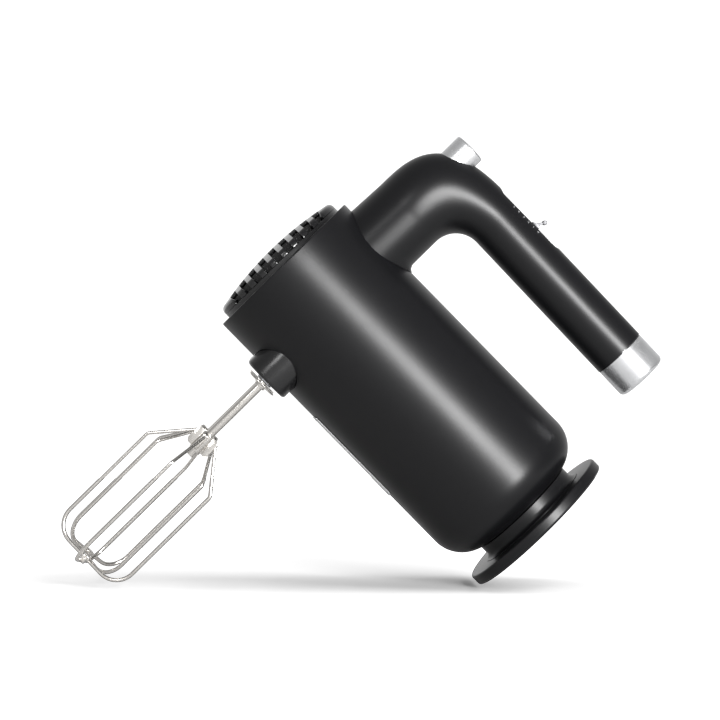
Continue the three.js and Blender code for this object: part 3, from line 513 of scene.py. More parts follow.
def stadium(half_length, radius, x, y, steps=24):
    """A bar with round ends, long in its first coordinate."""
    points = []
    for side in (1, -1):
        for k in range(steps + 1):
            a = math.pi * (k / steps - 0.5) + (0 if side > 0 else math.pi)
            middle = x + side * (half_length - radius)
            points.append((middle + radius * math.cos(a), y + radius * math.sin(a)))
    return points


def joined(parts):
    """Several bmeshes as one."""
    whole = parts[0]
    for part in parts[1:]:
        loose = bpy.data.meshes.new("loose")
        part.to_mesh(loose)
        part.free()
        whole.from_mesh(loose)
        bpy.data.meshes.remove(loose)
    return whole


def added(made, bm):
    """The object with another millimetre bmesh in its mesh."""
    extra = as_object(bm, "extra")
    whole = bmesh.new()
    whole.from_mesh(made.data)
    whole.from_mesh(extra.data)
    whole.to_mesh(made.data)
    whole.free()
    bpy.data.objects.remove(extra)
    return made


def as_object(bm, name):
    """The bmesh, scaled from millimetres, as an object of its own."""
    bmesh.ops.scale(bm, vec=(MM, MM, MM), verts=bm.verts)
    mesh = bpy.data.meshes.new(name)
    bm.to_mesh(mesh)
    bm.free()
    made = bpy.data.objects.new(name, mesh)
    bpy.context.scene.collection.objects.link(made)
    return made


def settled(made):
    """The object with its modifiers worked into a plain mesh."""
    bpy.context.view_layer.update()
    plain = bpy.data.meshes.new_from_object(made.evaluated_get(bpy.context.evaluated_depsgraph_get()))
    made.modifiers.clear()
    made.data = plain
    return made


def carved(made, tools, operation="DIFFERENCE"):
    """The object after cutting each tool from it, or keeping what it shares with them."""
    for i, tool in enumerate(tools):
        cutter = as_object(tool, f"cutter_{i}")
        modifier = made.modifiers.new(cutter.name, "BOOLEAN")
        modifier.object = cutter
        modifier.operation = operation
        modifier.solver = "EXACT"
    cutters = [m.object for m in made.modifiers]
    settled(made)
    for cutter in cutters:
        bpy.data.objects.remove(cutter)
    return made


def softened(made, width, angle=40, segments=3):
    """The object with its sharp edges rounded."""
    modifier = made.modifiers.new("edges", "BEVEL")
    modifier.width = width * MM
    modifier.segments = segments
    modifier.limit_method = "ANGLE"
    modifier.angle_limit = math.radians(angle)
    modifier.use_clamp_overlap = True
    return settled(made)


def placed(made, body, material, replaced=(), sharp=32):
    """Gives the piece its finish and shading, and lets it ride on its body."""
    made.data.materials.clear()
    made.data.materials.append(material)
    made.data.shade_smooth()
    made.data.set_sharp_from_angle(angle=math.radians(sharp))
    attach(made, body)
    if replaced:
        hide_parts(*replaced)
    return made


# ---------- Geometry Nodes ----------

def nodes_tree(name, inputs):
    """An empty Geometry Nodes tree with these named inputs, and its maker."""
    tree = bpy.data.node_groups.new(name, "GeometryNodeTree")
    tree.interface.new_socket("Geometry", in_out="INPUT", socket_type="NodeSocketGeometry")
    for label_text, kind in inputs.items():
        tree.interface.new_socket(label_text, in_out="INPUT", socket_type=f"NodeSocket{kind}")
    tree.interface.new_socket("Geometry", in_out="OUTPUT", socket_type="NodeSocketGeometry")
    return tree, Maker(tree)


def ended(maker, geometry):
    """Ends a tree: instances made real, and the material set."""
    real = maker.node("GeometryNodeRealizeInstances", None, {"Geometry": geometry})
    painted = maker.node("GeometryNodeSetMaterial", None, {
        "Geometry": real, "Material": maker.node("NodeGroupInput", output="Material"),
    })
    maker.node("NodeGroupOutput", None, {"Geometry": painted})


def grown(made, tree, values):
    """The object after a tree with these input values has made its mesh."""
    modifier = made.modifiers.new("nodes", "NODES")
    modifier.node_group = tree
    for item in tree.interface.items_tree:
        if item.in_out == "INPUT" and item.name in values:
            modifier[item.identifier] = values[item.name]
    return settled(made)


def dome_tree():
    """A crowned disc whose slots run in from both sides to a solid middle web."""
    names = ("Radius", "Crown Radius", "Top", "Edge Round", "Web", "Pitch", "Slot", "Foot")
    tree, maker = nodes_tree("slotted_dome", {**{n: "Float" for n in names}, "Material": "Material"})
    radius, crown, top, edge, web, pitch, slot_width, foot = (
        maker.node("NodeGroupInput", output=n) for n in names)
    band = 4  # cells across each slot and each rib
    bands = 2 * band
    end_cells = 10
    outermost = (grille.slots - 1) // 2 * bands + band / 2
    half_columns = int(outermost + end_cells)
    web_rows = 2
    dome_rows = 14
    turn_rows = 7
    foot_rows = 1
    half_rows = web_rows + dome_rows + turn_rows + foot_rows
    grid = maker.node("GeometryNodeMeshGrid", None, {
        "Size X": 2.0 * half_columns, "Size Y": 2.0 * half_rows,
        "Vertices X": 2 * half_columns + 1, "Vertices Y": 2 * half_rows + 1,
    })
    column, row, _ = maker.split(maker.node("GeometryNodeInputPosition"))
    for name, value in (("column", column), ("row", row)):
        grid = maker.node("GeometryNodeStoreNamedAttribute", {"data_type": "FLOAT", "domain": "POINT"}, {
            "Geometry": grid, "Name": name, "Value": value,
        })

    # across: slots and ribs in turn, then the plain end of the dome
    q = abs(column)
    k = maker.math("FLOOR", (q + band / 2) / bands)
    rest = q + band / 2 - bands * k
    in_slot = k * pitch - slot_width / 2 + slot_width * rest / band
    on_rib = k * pitch + slot_width / 2 + (pitch - slot_width) * (rest - band) / band
    last = (grille.slots - 1) / 2 * pitch + slot_width / 2
    swing = maker.math("SINE", (q - outermost) / end_cells * (math.pi / 2))
    at_end = last + (radius - last) * swing
    slotted = q < outermost + 0.1
    rib = rest > band + 0.1
    x = slotted * (rib * on_rib + (1 - rib) * in_slot) + (1 - slotted) * at_end

    # along: the web, then out over the dome, round its edge and down to its foot
    w = abs(row)
    flat = radius - edge
    reach = maker.root(radius * radius - x * x)
    web_edge = web * maker.smaller(reach / (2 * web), 1)
    on_web = web_edge * maker.smaller(w / web_rows, 1)
    over = maker.smaller(maker.larger((w - web_rows) / dome_rows, 0), 1)
    dome_edge = maker.larger(maker.root(flat * flat - x * x), web_edge)
    on_dome = on_web + (dome_edge - web_edge) * over
    turn = maker.smaller(maker.larger((w - web_rows - dome_rows) / turn_rows, 0), 1) * (math.pi / 2)
    out = maker.smaller(flat + edge * maker.math("SINE", turn), radius)
    turning = turn > 0.001
    at_turn = maker.larger(maker.root(out * out - x * x), web_edge)
    y = turning * at_turn + (1 - turning) * on_dome
    r = maker.smaller(maker.root(x * x + y * y), radius)
    dome_height = maker.root(crown * crown - maker.smaller(r, flat) * maker.smaller(r, flat)) - crown
    past = maker.larger(r - flat, 0)
    drop = edge - maker.root(edge * edge - past * past)
    z = top + dome_height - drop
    footed = w > half_rows - 0.5
    side_x = maker.math("SIGN", column)
    side_y = maker.math("SIGN", row)
    place = maker.point(side_x * x, side_y * y, footed * foot + (1 - footed) * z)
    shaped = maker.node("GeometryNodeSetPosition", None, {"Geometry": grid, "Position": place})

    cell, line = (abs(maker.node("GeometryNodeInputNamedAttribute", {"data_type": "FLOAT"}, {"Name": n}))
                  for n in ("column", "row"))
    offset = maker.math("FLOORED_MODULO", cell + band / 2, bands)
    open_cell = (offset < band) * (cell < outermost) * (line > web_rows)
    cut = maker.node("GeometryNodeDeleteGeometry", {"domain": "FACE"}, {
        "Geometry": shaped, "Selection": open_cell,
    })
    merged = maker.node("GeometryNodeMergeByDistance", None, {"Geometry": cut, "Distance": 0.02})
    ended(maker, merged)
    return tree


def wire_tree():
    """A round wire along a path of straight runs, each corner bent to its own radius."""
    tree, maker = nodes_tree("bent_wire", {"Wire Radius": "Float", "Sides": "Int", "Material": "Material"})
    path = maker.node("GeometryNodeMeshToCurve", None, {
        "Mesh": maker.node("NodeGroupInput", output="Geometry"),
    })
    bend = maker.node("GeometryNodeInputNamedAttribute", {"data_type": "FLOAT"}, {"Name": "bend"})
    bent = maker.node("GeometryNodeFilletCurve", {"mode": "POLY"}, {
        "Curve": path, "Count": 12, "Radius": bend, "Limit Radius": True,
    })
    section = maker.node("GeometryNodeCurvePrimitiveCircle", None, {
        "Resolution": maker.node("NodeGroupInput", output="Sides"),
        "Radius": maker.node("NodeGroupInput", output="Wire Radius"),
    })
    tube = maker.node("GeometryNodeCurveToMesh", None, {
        "Curve": bent, "Profile Curve": section, "Fill Caps": True,
    })
    ended(maker, tube)
    return tree


def ring_tree():
    """Copies of one fastener, evenly round a circle."""
    tree, maker = nodes_tree("fastener_ring", {
        "Circle": "Float", "Count": "Int", "First Angle": "Float", "Material": "Material",
    })
    places = maker.node("GeometryNodeMeshCircle", None, {
        "Vertices": maker.node("NodeGroupInput", output="Count"),
        "Radius": maker.node("NodeGroupInput", output="Circle"),
    })
    copies = maker.node("GeometryNodeInstanceOnPoints", None, {
        "Points": places, "Instance": maker.node("NodeGroupInput", output="Geometry"),
    })
    turn = maker.point(0, 0, maker.node("NodeGroupInput", output="First Angle"))
    turned_row = maker.node("GeometryNodeTransform", None, {"Geometry": copies, "Rotation": turn})
    ended(maker, turned_row)
    return tree


# ---------- heel, neck and barrel ----------

def heel_screw_places():
    for i in range(heel_screw.count):
        a = math.radians(heel_screw.first + 360 / heel_screw.count * i)
        yield heel_screw.circle * math.cos(a), heel_screw.circle * math.sin(a)


def make_heel():
    h = heel
    profile = rounded([
        (0, 0, 0), (h.radius, 0, h.edge), (h.radius, h.thickness, h.edge), (0, h.thickness, 0)])
    head_room = heel_screw.recess + heel_screw.head_height + gap
    wells = []
    for x, y in heel_screw_places():
        wells.append(prism(circle(heel_screw.head + gap, x, y), "z", -1, head_room))
        wells.append(prism(circle(heel_screw.radius + gap, x, y), "z", -1, h.thickness + 1))
    made = carved(as_object(turned(profile, segments=144), "heel_disc_fine"), wells)
    placed(made, "housing", SOFT, ["heel_disc"])


def make_heel_screws():
    s = heel_screw
    low, high = s.recess, s.recess + s.head_height
    end = high + s.length
    point_radius, point_length = 0.4, 1.4
    profile = rounded([
        (0, low, 0), (s.head, low, 0.5), (s.head, high, 0.2), (s.radius, high, 0),
        (s.radius, end - point_length, 0), (point_radius, end, 0.2), (0, end, 0)])
    arm, deep, narrow = 1.6, 1.3, 0.42
    cross = [block(-arm, arm, -narrow, narrow, low - 1, low + deep),
             block(-narrow, narrow, -arm, arm, low - 1, low + deep)]
    made = carved(as_object(turned(profile, segments=32), "heel_screws"), cross)
    grown(made, ring_tree(), {
        "Circle": s.circle * MM, "Count": s.count, "First Angle": math.radians(s.first), "Material": SCREW,
    })
    names = [f"heel_screw_{i + 1}" for i in range(s.count)]
    placed(made, "housing", SCREW, names)


def make_neck():
    n = neck
    inner = n.radius - n.wall
    profile = rounded([
        (n.radius + n.cove, neck_z, 0), (n.radius + n.cove, neck_z + n.foot, 0),
        (n.radius, neck_z + n.foot, n.cove - 0.1), (n.radius, barrel_z, 0.3), (n.bore, barrel_z, 0.2),
        (n.bore, barrel_z - n.roof, 0.2), (inner, barrel_z - n.roof, 0.5), (inner, neck_z, 0.3)], steps=8)
    z = neck_z + 2 * gap + grommet.radius
    start = n.radius + grommet.proud - grommet.length
    inlet = prism(circle(grommet.radius + gap, z, 0), "y", start - 1, n.radius + 1)
    made = carved(as_object(turned(profile, segments=128), "cord_spool_neck_fine"), [inlet])
    placed(made, "housing", SOFT, ["cord_spool_neck"])
    end = n.radius + grommet.proud
    ring = rounded([
        (grommet.bore, start, 0.2), (grommet.radius, start, 0.2), (grommet.radius, end, 0.3),
        (grommet.bore, end, 0.3)], steps=4)
    made = as_object(turned(ring, "y", (0, 0, z), segments=40), "cord_inlet_ring")
    placed(made, "housing", SLEEVE, ["cord_inlet_grommet"])


def make_barrel():
    b = barrel
    mouth = grille.radius + gap
    floor_z = barrel_z + b.wall
    outline = rounded([
        (neck.bore, barrel_z, 0.2), (b.radius, barrel_z, b.heel_round), (b.radius, rim_z, b.rim_edge),
        (mouth, rim_z, 0.25), (mouth, rim_z - b.lip, 0.1), (wall_inside, rim_z - b.lip, 0.1),
        (wall_inside, floor_z, b.heel_round - b.wall), (neck.bore, floor_z, 0.2)], steps=16)
    profile = stepped(outline, 8)
    ease = math.degrees(seam / b.radius)
    for name, side in sides.items():
        sweep = (180 + ease, 360 - ease) if side < 0 else (ease, 180 - ease)
        made = as_object(turned(profile, segments=110, sweep=sweep), f"barrel_shell_{name}")
        seat = stadium(boss.half_length + gap, boss.half_width + gap, 0, beater_z)
        socket_hole = prism(seat, "x", -far, -handle.start)
        handle_hole = prism(circle(handle.passage, 0, root_z), "x", handle.start, far)
        screws = [prism(circle(heel_screw.radius + gap, x, y), "z", barrel_z - 1, floor_z + 1)
                  for x, y in heel_screw_places()]
        carved(made, [socket_hole, handle_hole, *screws])
        placed(made, "housing", SOFT, [f"body_shell_{name}"])


def make_label():
    inner = barrel.radius + gap
    outer = inner + label.thickness
    half = math.degrees(math.asin(label.half_width / barrel.radius)) + 2
    profile = stepped([(inner, label.z), (outer, label.z), (outer, label.z + label.height),
                       (inner, label.z + label.height)], 4)
    made = as_object(turned(profile, segments=32, sweep=(180 - half, 180 + half)), "rating_label_foil")
    h, low, high, c = label.half_width, label.z, label.z + label.height, label.corner
    outline = rounded([(-h, low, c), (h, low, c), (h, high, c), (-h, high, c)])
    carved(made, [prism(outline, "x", -far, 0)], "INTERSECT")
    placed(made, "housing", FOIL, ["rating_label"])


# ---------- grille and boss ----------

def make_grille():
    g = grille
    dome = as_object(bmesh.new(), "front_grille_fine")
    grown(dome, dome_tree(), {
        "Radius": float(g.radius), "Crown Radius": float(g.crown_radius), "Top": rim_z + g.crown_height,
        "Edge Round": g.edge_round, "Web": float(g.web), "Pitch": g.pitch, "Slot": float(g.slot),
        "Foot": rim_z + g.sill, "Material": MOULDED,
    })
    bm = bmesh.new()
    bm.from_mesh(dome.data)
    bmesh.ops.remove_doubles(bm, verts=bm.verts, dist=0.01)
    bmesh.ops.dissolve_degenerate(bm, edges=bm.edges, dist=0.005)
    bmesh.ops.recalc_face_normals(bm, faces=bm.faces)
    upward = max(bm.faces, key=lambda f: f.calc_center_median().z)
    if upward.normal.z < 0:
        bmesh.ops.reverse_faces(bm, faces=bm.faces)
    bpy.data.objects.remove(dome)
    dome = as_object(bm, "front_grille_fine")
    wall = dome.modifiers.new("wall", "SOLIDIFY")
    wall.thickness = g.wall * MM
    wall.offset = -1
    wall.use_even_offset = True
    settled(dome)
    softened(dome, g.edge, angle=50, segments=2)
    bottom = rim_z - g.skirt
    top = rim_z + g.sill
    flange_top = rim_z - barrel.lip - gap
    inside = g.radius - g.wall
    collar = turned(rounded([
        (inside, bottom, 0.2), (g.radius, bottom, 0.2), (g.radius, flange_top - 3.6, 0),
        (g.radius + g.flange, flange_top - 2.6, 0), (g.radius + g.flange, flange_top, 0),
        (g.radius, flange_top, 0), (g.radius, top, 0.15), (inside, top, 0.3)], steps=3), segments=144)
    reach = g.radius - g.wall
    under = [(rim_z + g.crown_height - g.wall - g.crown_radius + math.sqrt(g.crown_radius ** 2 - x * x), x)
             for x in (reach * (k / 12 - 1) * 0.9 for k in range(25))]
    spine = prism([(rim_z - g.spine_drop, -reach), *under, (rim_z - g.spine_drop, reach)], "y",
                  -g.spine_half, g.spine_half)
    added(dome, joined([collar, spine]))
    placed(dome, "housing", MOULDED, ["front_grille"], sharp=38)


def make_boss():
    """A bar with round ends whose face edge is rounded over, with two bored ends for the sockets."""
    b = boss
    steps = 8
    turns = [math.pi / 2 * k / steps for k in range(steps + 1)]
    insets = [(b.edge * (1 - math.sin(a)), b.edge * (1 - math.cos(a))) for a in turns]
    heights = [(inset, -b.face + down) for inset, down in insets] + [(0, -b.inner - 8), (0, -b.inner)]
    rings = [[Vector((x, p[0], p[1])) for p in stadium(b.half_length - i, b.half_width - i, 0, beater_z)]
             for i, x in heights]
    room = prism(stadium(b.half_length - b.wall, b.half_width - b.wall, 0, beater_z), "x",
                 -b.face + b.end_wall, 0)
    bores = [prism(circle(socket.radius + gap, side * beater.spacing / 2, beater_z), "x", -far, 0)
             for side in sides.values()]
    made = carved(as_object(lofted(rings), "beater_socket_boss_fine"), [room, *bores])
    placed(made, "housing", MOULDED, ["beater_socket_boss"])


# ---------- handle ----------

def blend(a, b, t):
    return a + (b - a) * t


def grip_axis_x(z):
    """The grip leans towards the barrel a little as it runs down."""
    return grip_x - handle.grip_lean * (bend_z - z) / (bend_z - grip_end_z)


def handle_form(inset, start_x, end_z, count):
    """The handle as rings across its path: out of the barrel, round the elbow and down the grip."""
    h = handle
    elbow_top = bend_z + h.elbow_rise
    root_top = root_z + h.root_half_height
    root_bottom = bend_z + h.bend_radius
    rings = []

    def ring(x, z, angle, half_height, half_width, flare=0.0):
        outward = Vector((math.sin(angle), 0, math.cos(angle)))
        points = []
        for j in range(count):
            a = math.tau * j / count
            height = (half_height - inset) * math.cos(a) - flare * max(0.0, -math.cos(a)) ** 6
            point = Vector((x, 0, z)) + outward * height
            point.y = (half_width - inset) * math.sin(a)
            points.append(point)
        rings.append(points)

    root_steps = 26
    for k in range(root_steps):
        x = blend(start_x, h.bend_x, k / root_steps)
        along = max(0, (x - start_x) / (h.bend_x - start_x))
        top = blend(root_top, elbow_top, along)
        width = blend(h.root_half_width, h.neck_half_width, along)
        near = min(max(1 - (x - barrel.radius) / h.fillet, 0), 1)
        flare = h.fillet * (1 - math.sqrt(1 - near ** 2)) if not inset else 0.0
        ring(x, (top + root_bottom) / 2, 0, (top - root_bottom) / 2, width, flare)
    steps = 40
    for i in range(steps + 1):
        angle = math.pi / 2 * i / steps
        rise = (math.cos(angle) / h.elbow_rise) ** h.elbow_squareness
        out = (math.sin(angle) / (h.bend_radius + 2 * h.grip_radius)) ** h.elbow_squareness
        outer = (rise + out) ** (-1 / h.elbow_squareness)
        middle = (outer + h.bend_radius) / 2
        t = i / steps
        width = blend(h.neck_half_width, h.grip_radius, t * t * (3 - 2 * t))
        ring(h.bend_x + middle * math.sin(angle), bend_z + middle * math.cos(angle), angle,
             (outer - h.bend_radius) / 2, width)
    grip_steps = 12
    for k in range(1, grip_steps + 1):
        z = blend(bend_z, end_z, k / grip_steps)
        ring(grip_axis_x(z), z, math.pi / 2, h.grip_radius, h.grip_radius)
    return rings


def make_handle():
    h = handle
    count = 112
    edge = grip_x + h.grip_radius + 5
    ramp = panel.ramp
    recess = rounded([
        (panel_end_z - ramp / 2, edge, 0), (panel_end_z - ramp / 2, panel_x + panel.depth + gap, 0),
        (panel_end_z + ramp * 0.6, panel_x, 3), (panel_top_z - ramp, panel_x, 3),
        (panel_top_z + ramp / 4, panel_x + panel.depth + gap, 0), (panel_top_z + ramp / 4, edge, 0)])
    w = panel.half_width + seam
    low, high = panel_end_z + ramp - seam, panel_top_z - ramp + seam
    pocket = rounded([(-w, low, 1.2), (w, low, 1.2), (w, high, 1.2), (-w, high, 1.2)])
    for name, side in sides.items():
        outer = as_object(lofted(handle_form(0, h.start, grip_end_z, count)), f"handle_shell_{name}_fine")
        half = block(-far, far, *sorted((side * seam, side * far)), -far, far)
        carved(outer, [half], "INTERSECT")
        cuts = [
            lofted(handle_form(h.wall, h.start - 1, grip_end_z - 1, count)),
            prism(circle(barrel.radius + 0.1, steps=240), "z", -far, far),
            prism(circle(button.radius + 0.2, 0, eject_z), "x", button.bottom - 3, far),
            prism(recess, "y", -far, far),
            prism(pocket, "x", panel_x - panel.thickness - gap, far),
        ]
        carved(outer, cuts)
        placed(outer, "housing", SOFT, [f"handle_shell_{name}"], sharp=30)


def make_panel():
    p = panel
    w, low, high = p.half_width, panel_end_z + p.ramp, panel_top_z - p.ramp
    outline = rounded([(-w, low, 1.1), (w, low, 1.1), (w, high, 1.1), (-w, high, 1.1)])
    made = as_object(prism(outline, "x", panel_x - p.thickness, panel_x), "speed_panel_fine")
    slot_half = slider.stem_half + gap
    slot_low = slider_z - slider.stem / 2 - 1
    slot_high = slider_z + slider.travel + slider.stem / 2 + 1
    slot = rounded([(-slot_half, slot_low, 0.8), (slot_half, slot_low, 0.8), (slot_half, slot_high, 0.8),
                    (-slot_half, slot_high, 0.8)])
    carved(made, [prism(slot, "x", panel_x - 6, panel_x + 6)])
    softened(made, 0.2, angle=50, segments=2)
    placed(made, "housing", MOULDED, ["speed_panel"])


def make_digits():
    """The speed numbers, printed on the round of the grip along the panel's near edge."""
    size = 2.3
    spacing = 3.75
    first_z = slider_z - 3.2
    start = math.radians(31)
    radius = handle.grip_radius + 0.04
    whole = bmesh.new()
    for number in range(6):
        curve = bpy.data.curves.new("digit", "FONT")
        curve.body = str(number)
        curve.size = size
        curve.resolution_u = 4
        text = bpy.data.objects.new("digit", curve)
        bpy.context.scene.collection.objects.link(text)
        bpy.context.view_layer.update()
        flat = bpy.data.meshes.new_from_object(text.evaluated_get(bpy.context.evaluated_depsgraph_get()))
        digit = bmesh.new()
        digit.from_mesh(flat)
        middle = sum(v.co.x for v in digit.verts) / len(digit.verts)
        for v in digit.verts:
            angle = start + (size * 0.7 - v.co.y) / radius
            z = first_z + spacing * number - (v.co.x - middle)
            axis = grip_axis_x(z)
            v.co = Vector((axis + radius * math.cos(angle), -radius * math.sin(angle), z))
        bmesh.ops.triangulate(digit, faces=digit.faces)
        whole = joined([whole, digit])
        bpy.data.objects.remove(text)
    bmesh.ops.recalc_face_normals(whole, faces=whole.faces)
    for face in whole.faces:
        if face.normal.dot(face.calc_center_median() - Vector((grip_x, 0, face.calc_center_median().z))) < 0:
            face.normal_flip()
    made = as_object(whole, "speed_digits")
    placed(made, "housing", PRINT)


def make_slider():
    """A thin leaning lever with a round bar along its top, on a stem through the panel."""
    s = slider
    z = slider_z
    face = panel_x - panel.thickness
    foot = panel_x + gap
    top_x, top_z = panel_x + s.height - s.knob, z - s.lean
    base_half, base_top, thin = 2.5, foot + 0.7, 0.6
    lever = rounded([
        (z - base_half, foot, 0.3), (z + base_half, foot, 0.3), (z + base_half, base_top, 0.3),
        (z + 0.7, foot + 1.2, 0.9), (top_z + thin, top_x, 0), (top_z - thin, top_x, 0),
        (z - 1.1, foot + 1.2, 0.9), (z - base_half, base_top, 0.3)])
    blade = prism(lever, "y", -s.paddle_half + 0.3, s.paddle_half - 0.3)
    made = softened(as_object(blade, "speed_lever"), 0.2, angle=50, segments=2)
    bar = turned(rounded([
        (0, -s.paddle_half, 0), (s.knob, -s.paddle_half, 0.5), (s.knob, s.paddle_half, 0.5),
        (0, s.paddle_half, 0)], closed=False), "y", (top_x, 0, top_z), segments=32)
    stem = block(face - gap, foot + 0.3, -s.stem_half, s.stem_half, z - s.stem / 2, z + s.stem / 2)
    base = block(face - 2.4, face - gap, -base_half, base_half, z - s.base / 2, z + s.base / 2)
    added(made, joined([bar, stem, base]))
    # The lever takes the darkened satin silver, whose colour paints in its dark reflection.
    placed(made, "speed_slider", SILVER_LEVER_PAINTED_DARK, ["speed_slider"])


def make_cap():
    c = cap
    top = grip_end_z - gap
    plug = handle.grip_radius - handle.wall - 2 * gap
    profile = rounded([
        (0, top - c.length - c.dome, 0), (c.radius, top - c.length, c.edge), (c.radius, top, 0.25),
        (plug, top, 0), (plug, top + c.plug, 0.3), (0, top + c.plug, 0)], closed=False, steps=12)
    bm = turned(profile, segments=128)
    lean = math.atan2(handle.grip_lean, bend_z - grip_end_z)
    place = (Matrix.Translation((grip_axis_x(top), 0, top)) @ Matrix.Rotation(lean, 4, "Y")
             @ Matrix.Translation((0, 0, -top)))
    bmesh.ops.transform(bm, matrix=place, verts=bm.verts)
    placed(as_object(bm, "grip_end_cap_fine"), "housing", SILVER_CAP, ["grip_end_cap"])


def make_button():
    b = button
    rim = b.top - b.dome
    profile = rounded([
        (0, b.bottom - b.flange_thickness, 0), (b.flange, b.bottom - b.flange_thickness, 0.3),
        (b.flange, b.bottom, 0.3), (b.radius, b.bottom, 0), (b.radius, rim, b.edge), (0, b.top, 0)],
        closed=False, steps=10)
    made = as_object(turned(profile, "x", (0, 0, eject_z), segments=96), "eject_button_fine")
    placed(made, "ejector", SILVER_KEY, ["eject_button"])


# ---------- beaters and their sockets ----------

def make_socket(name, side):
    s = socket
    y = side * beater.spacing / 2
    profile = rounded([
        (s.bore, -s.nose, 0.5), (s.radius, -s.nose, 0.4), (s.radius, -s.collar_x, 0.2),
        (s.collar, -s.collar_x, 0.3), (s.collar, -s.collar_x + 2, 0.3), (s.radius, -s.collar_x + 2, 0.1),
        (s.radius, s.tail, 0.3), (s.bore, s.tail, 0.3)], steps=4)
    made = as_object(turned(profile, "x", (0, y, beater_z), segments=48), f"drive_socket_{name}_fine")
    placed(made, f"gear_{name}", MACHINED, [f"drive_socket_{name}"])


def make_beater_shaft(name, side):
    b = beater
    y = side * b.spacing / 2
    tail = -b.hub_top - b.hub_length - b.tail
    low = -b.collar_x - b.collar_thickness
    profile = rounded([
        (0, tail, 0), (b.shaft, tail, 0.5), (b.shaft, low - 1.6, 0.0), (b.shaft + 0.9, low - 1.6, 0.3),
        (b.shaft + 0.9, low, 0.2), (b.collar - 0.6, low, 0.3), (b.collar, low + 0.45, 0.2),
        (b.collar, -b.collar_x, 0.2), (b.shaft, -b.collar_x, 0), (b.shaft, b.top - 4.4, 0.2),
        (b.shaft - 0.5, b.top - 4.0, 0.2), (b.shaft - 0.5, b.top - 2.8, 0.2), (b.shaft, b.top - 2.4, 0.2),
        (b.shaft, b.top - 1, 0.3), (b.shaft - 0.8, b.top, 0.3), (0, b.top, 0)], closed=False, steps=4)
    made = as_object(turned(profile, "x", (0, y, beater_z), segments=48), f"beater_shaft_{name}_fine")
    placed(made, f"beater_{name}", STEEL, [f"beater_shaft_{name}"])


def across_beater(side, turn):
    """Places a point given along a beater (x), out from its shaft and square to its plane."""
    y = side * beater.spacing / 2

    def place(x, out, aside=0.0):
        return Vector((x, y + out * math.cos(turn) - aside * math.sin(turn),
                       beater_z + out * math.sin(turn) + aside * math.cos(turn)))

    return place


def make_beater_hub(name, side):
    """The crimped sleeve with four stamped ears whose tops hold the wires."""
    b = beater
    y = side * b.spacing / 2
    top, end = -b.hub_top, -b.hub_top - b.hub_length
    bore = b.shaft - 0.02
    sleeve = turned(rounded([(bore, end, 0.2), (b.sleeve, end, 0.4), (b.sleeve, top, 0.4), (bore, top, 0.2)],
                            steps=4), "x", (0, y, beater_z), segments=40)
    parts = [sleeve]
    outline = rounded([
        (end + 1.2, b.sleeve - 1, 0), (end + 1.2, b.ear - 1.4, 0.9), (end + 3.0, b.ear, 1.2),
        (top - 1.2, b.ear, 0.5), (top, b.ear - 0.9, 0.5), (top, b.sleeve - 1, 0)])
    for quarter in range(4):
        place = across_beater(side, math.radians(beater_turn[name] + 90 * quarter))
        parts.append(lofted([[place(x, out, aside) for x, out in outline]
                             for aside in (-b.ear_half + 0.5, b.ear_half - 0.5)]))
    made = softened(as_object(joined(parts), f"beater_hub_{name}_fine"), 0.22, angle=50, segments=2)
    placed(made, f"beater_{name}", STEEL, [f"beater_hub_{name}"])


def make_beater_loop(name, side, kind, turn, lift, tree):
    """One wire loop, from an ear out to the shoulder, down the cage, round the tip and back."""
    b = beater
    place = across_beater(side, turn)
    ear_top = -b.hub_top - b.wire
    tip = -b.tip + lift
    half = [(ear_top, b.sleeve + 0.1, 0), (ear_top - 0.2, b.sleeve + 1.9, 1.6),
            (-b.shoulder, b.cage, b.shoulder_bend), (tip, b.cage, b.corner)]
    corners = half + [(x, -out, bend) for x, out, bend in reversed(half)]
    mesh = bpy.data.meshes.new(f"beater_loop_{kind}_{name}_fine")
    edges = [(i, i + 1) for i in range(len(corners) - 1)]
    mesh.from_pydata([place(x, out) * MM for x, out, _ in corners], edges, [])
    bends = mesh.attributes.new("bend", "FLOAT", "POINT")
    bends.data.foreach_set("value", [bend * MM for _, _, bend in corners])
    made = bpy.data.objects.new(mesh.name, mesh)
    bpy.context.scene.collection.objects.link(made)
    grown(made, tree, {"Wire Radius": b.wire * MM, "Sides": 20, "Material": STEEL})
    placed(made, f"beater_{name}", STEEL, [f"beater_loop_{kind}_{name}"], sharp=60)


def make_tip_clip(name, side):
    """The small folded clip that ties the two loops where they cross at the tip."""
    b = beater
    place = across_beater(side, math.radians(beater_turn[name]))
    low, high, half = -b.tip - b.wire, -b.tip + b.lift + b.wire, b.wire + 0.75
    outline = rounded([(low + 0.15, -half, 0.6), (low + 0.15, half, 0.6), (high + 0.5, half, 0.6),
                       (high + 0.5, -half, 0.6)])
    block_form = lofted([[place(x, out, aside) for x, out in outline] for aside in (-half, half)])
    made = softened(as_object(block_form, f"beater_clip_{name}"), 0.3, angle=50, segments=2)
    placed(made, f"beater_{name}", STEEL)


def make_beaters():
    tree = wire_tree()
    for name, side in sides.items():
        turn = math.radians(beater_turn[name])
        make_socket(name, side)
        make_beater_shaft(name, side)
        make_beater_hub(name, side)
        make_beater_loop(name, side, "outer", turn, 0, tree)
        make_beater_loop(name, side, "inner", turn + math.pi / 2, beater.lift, tree)
        make_tip_clip(name, side)


# ---------- inner pieces, whose shape the frame already has ----------

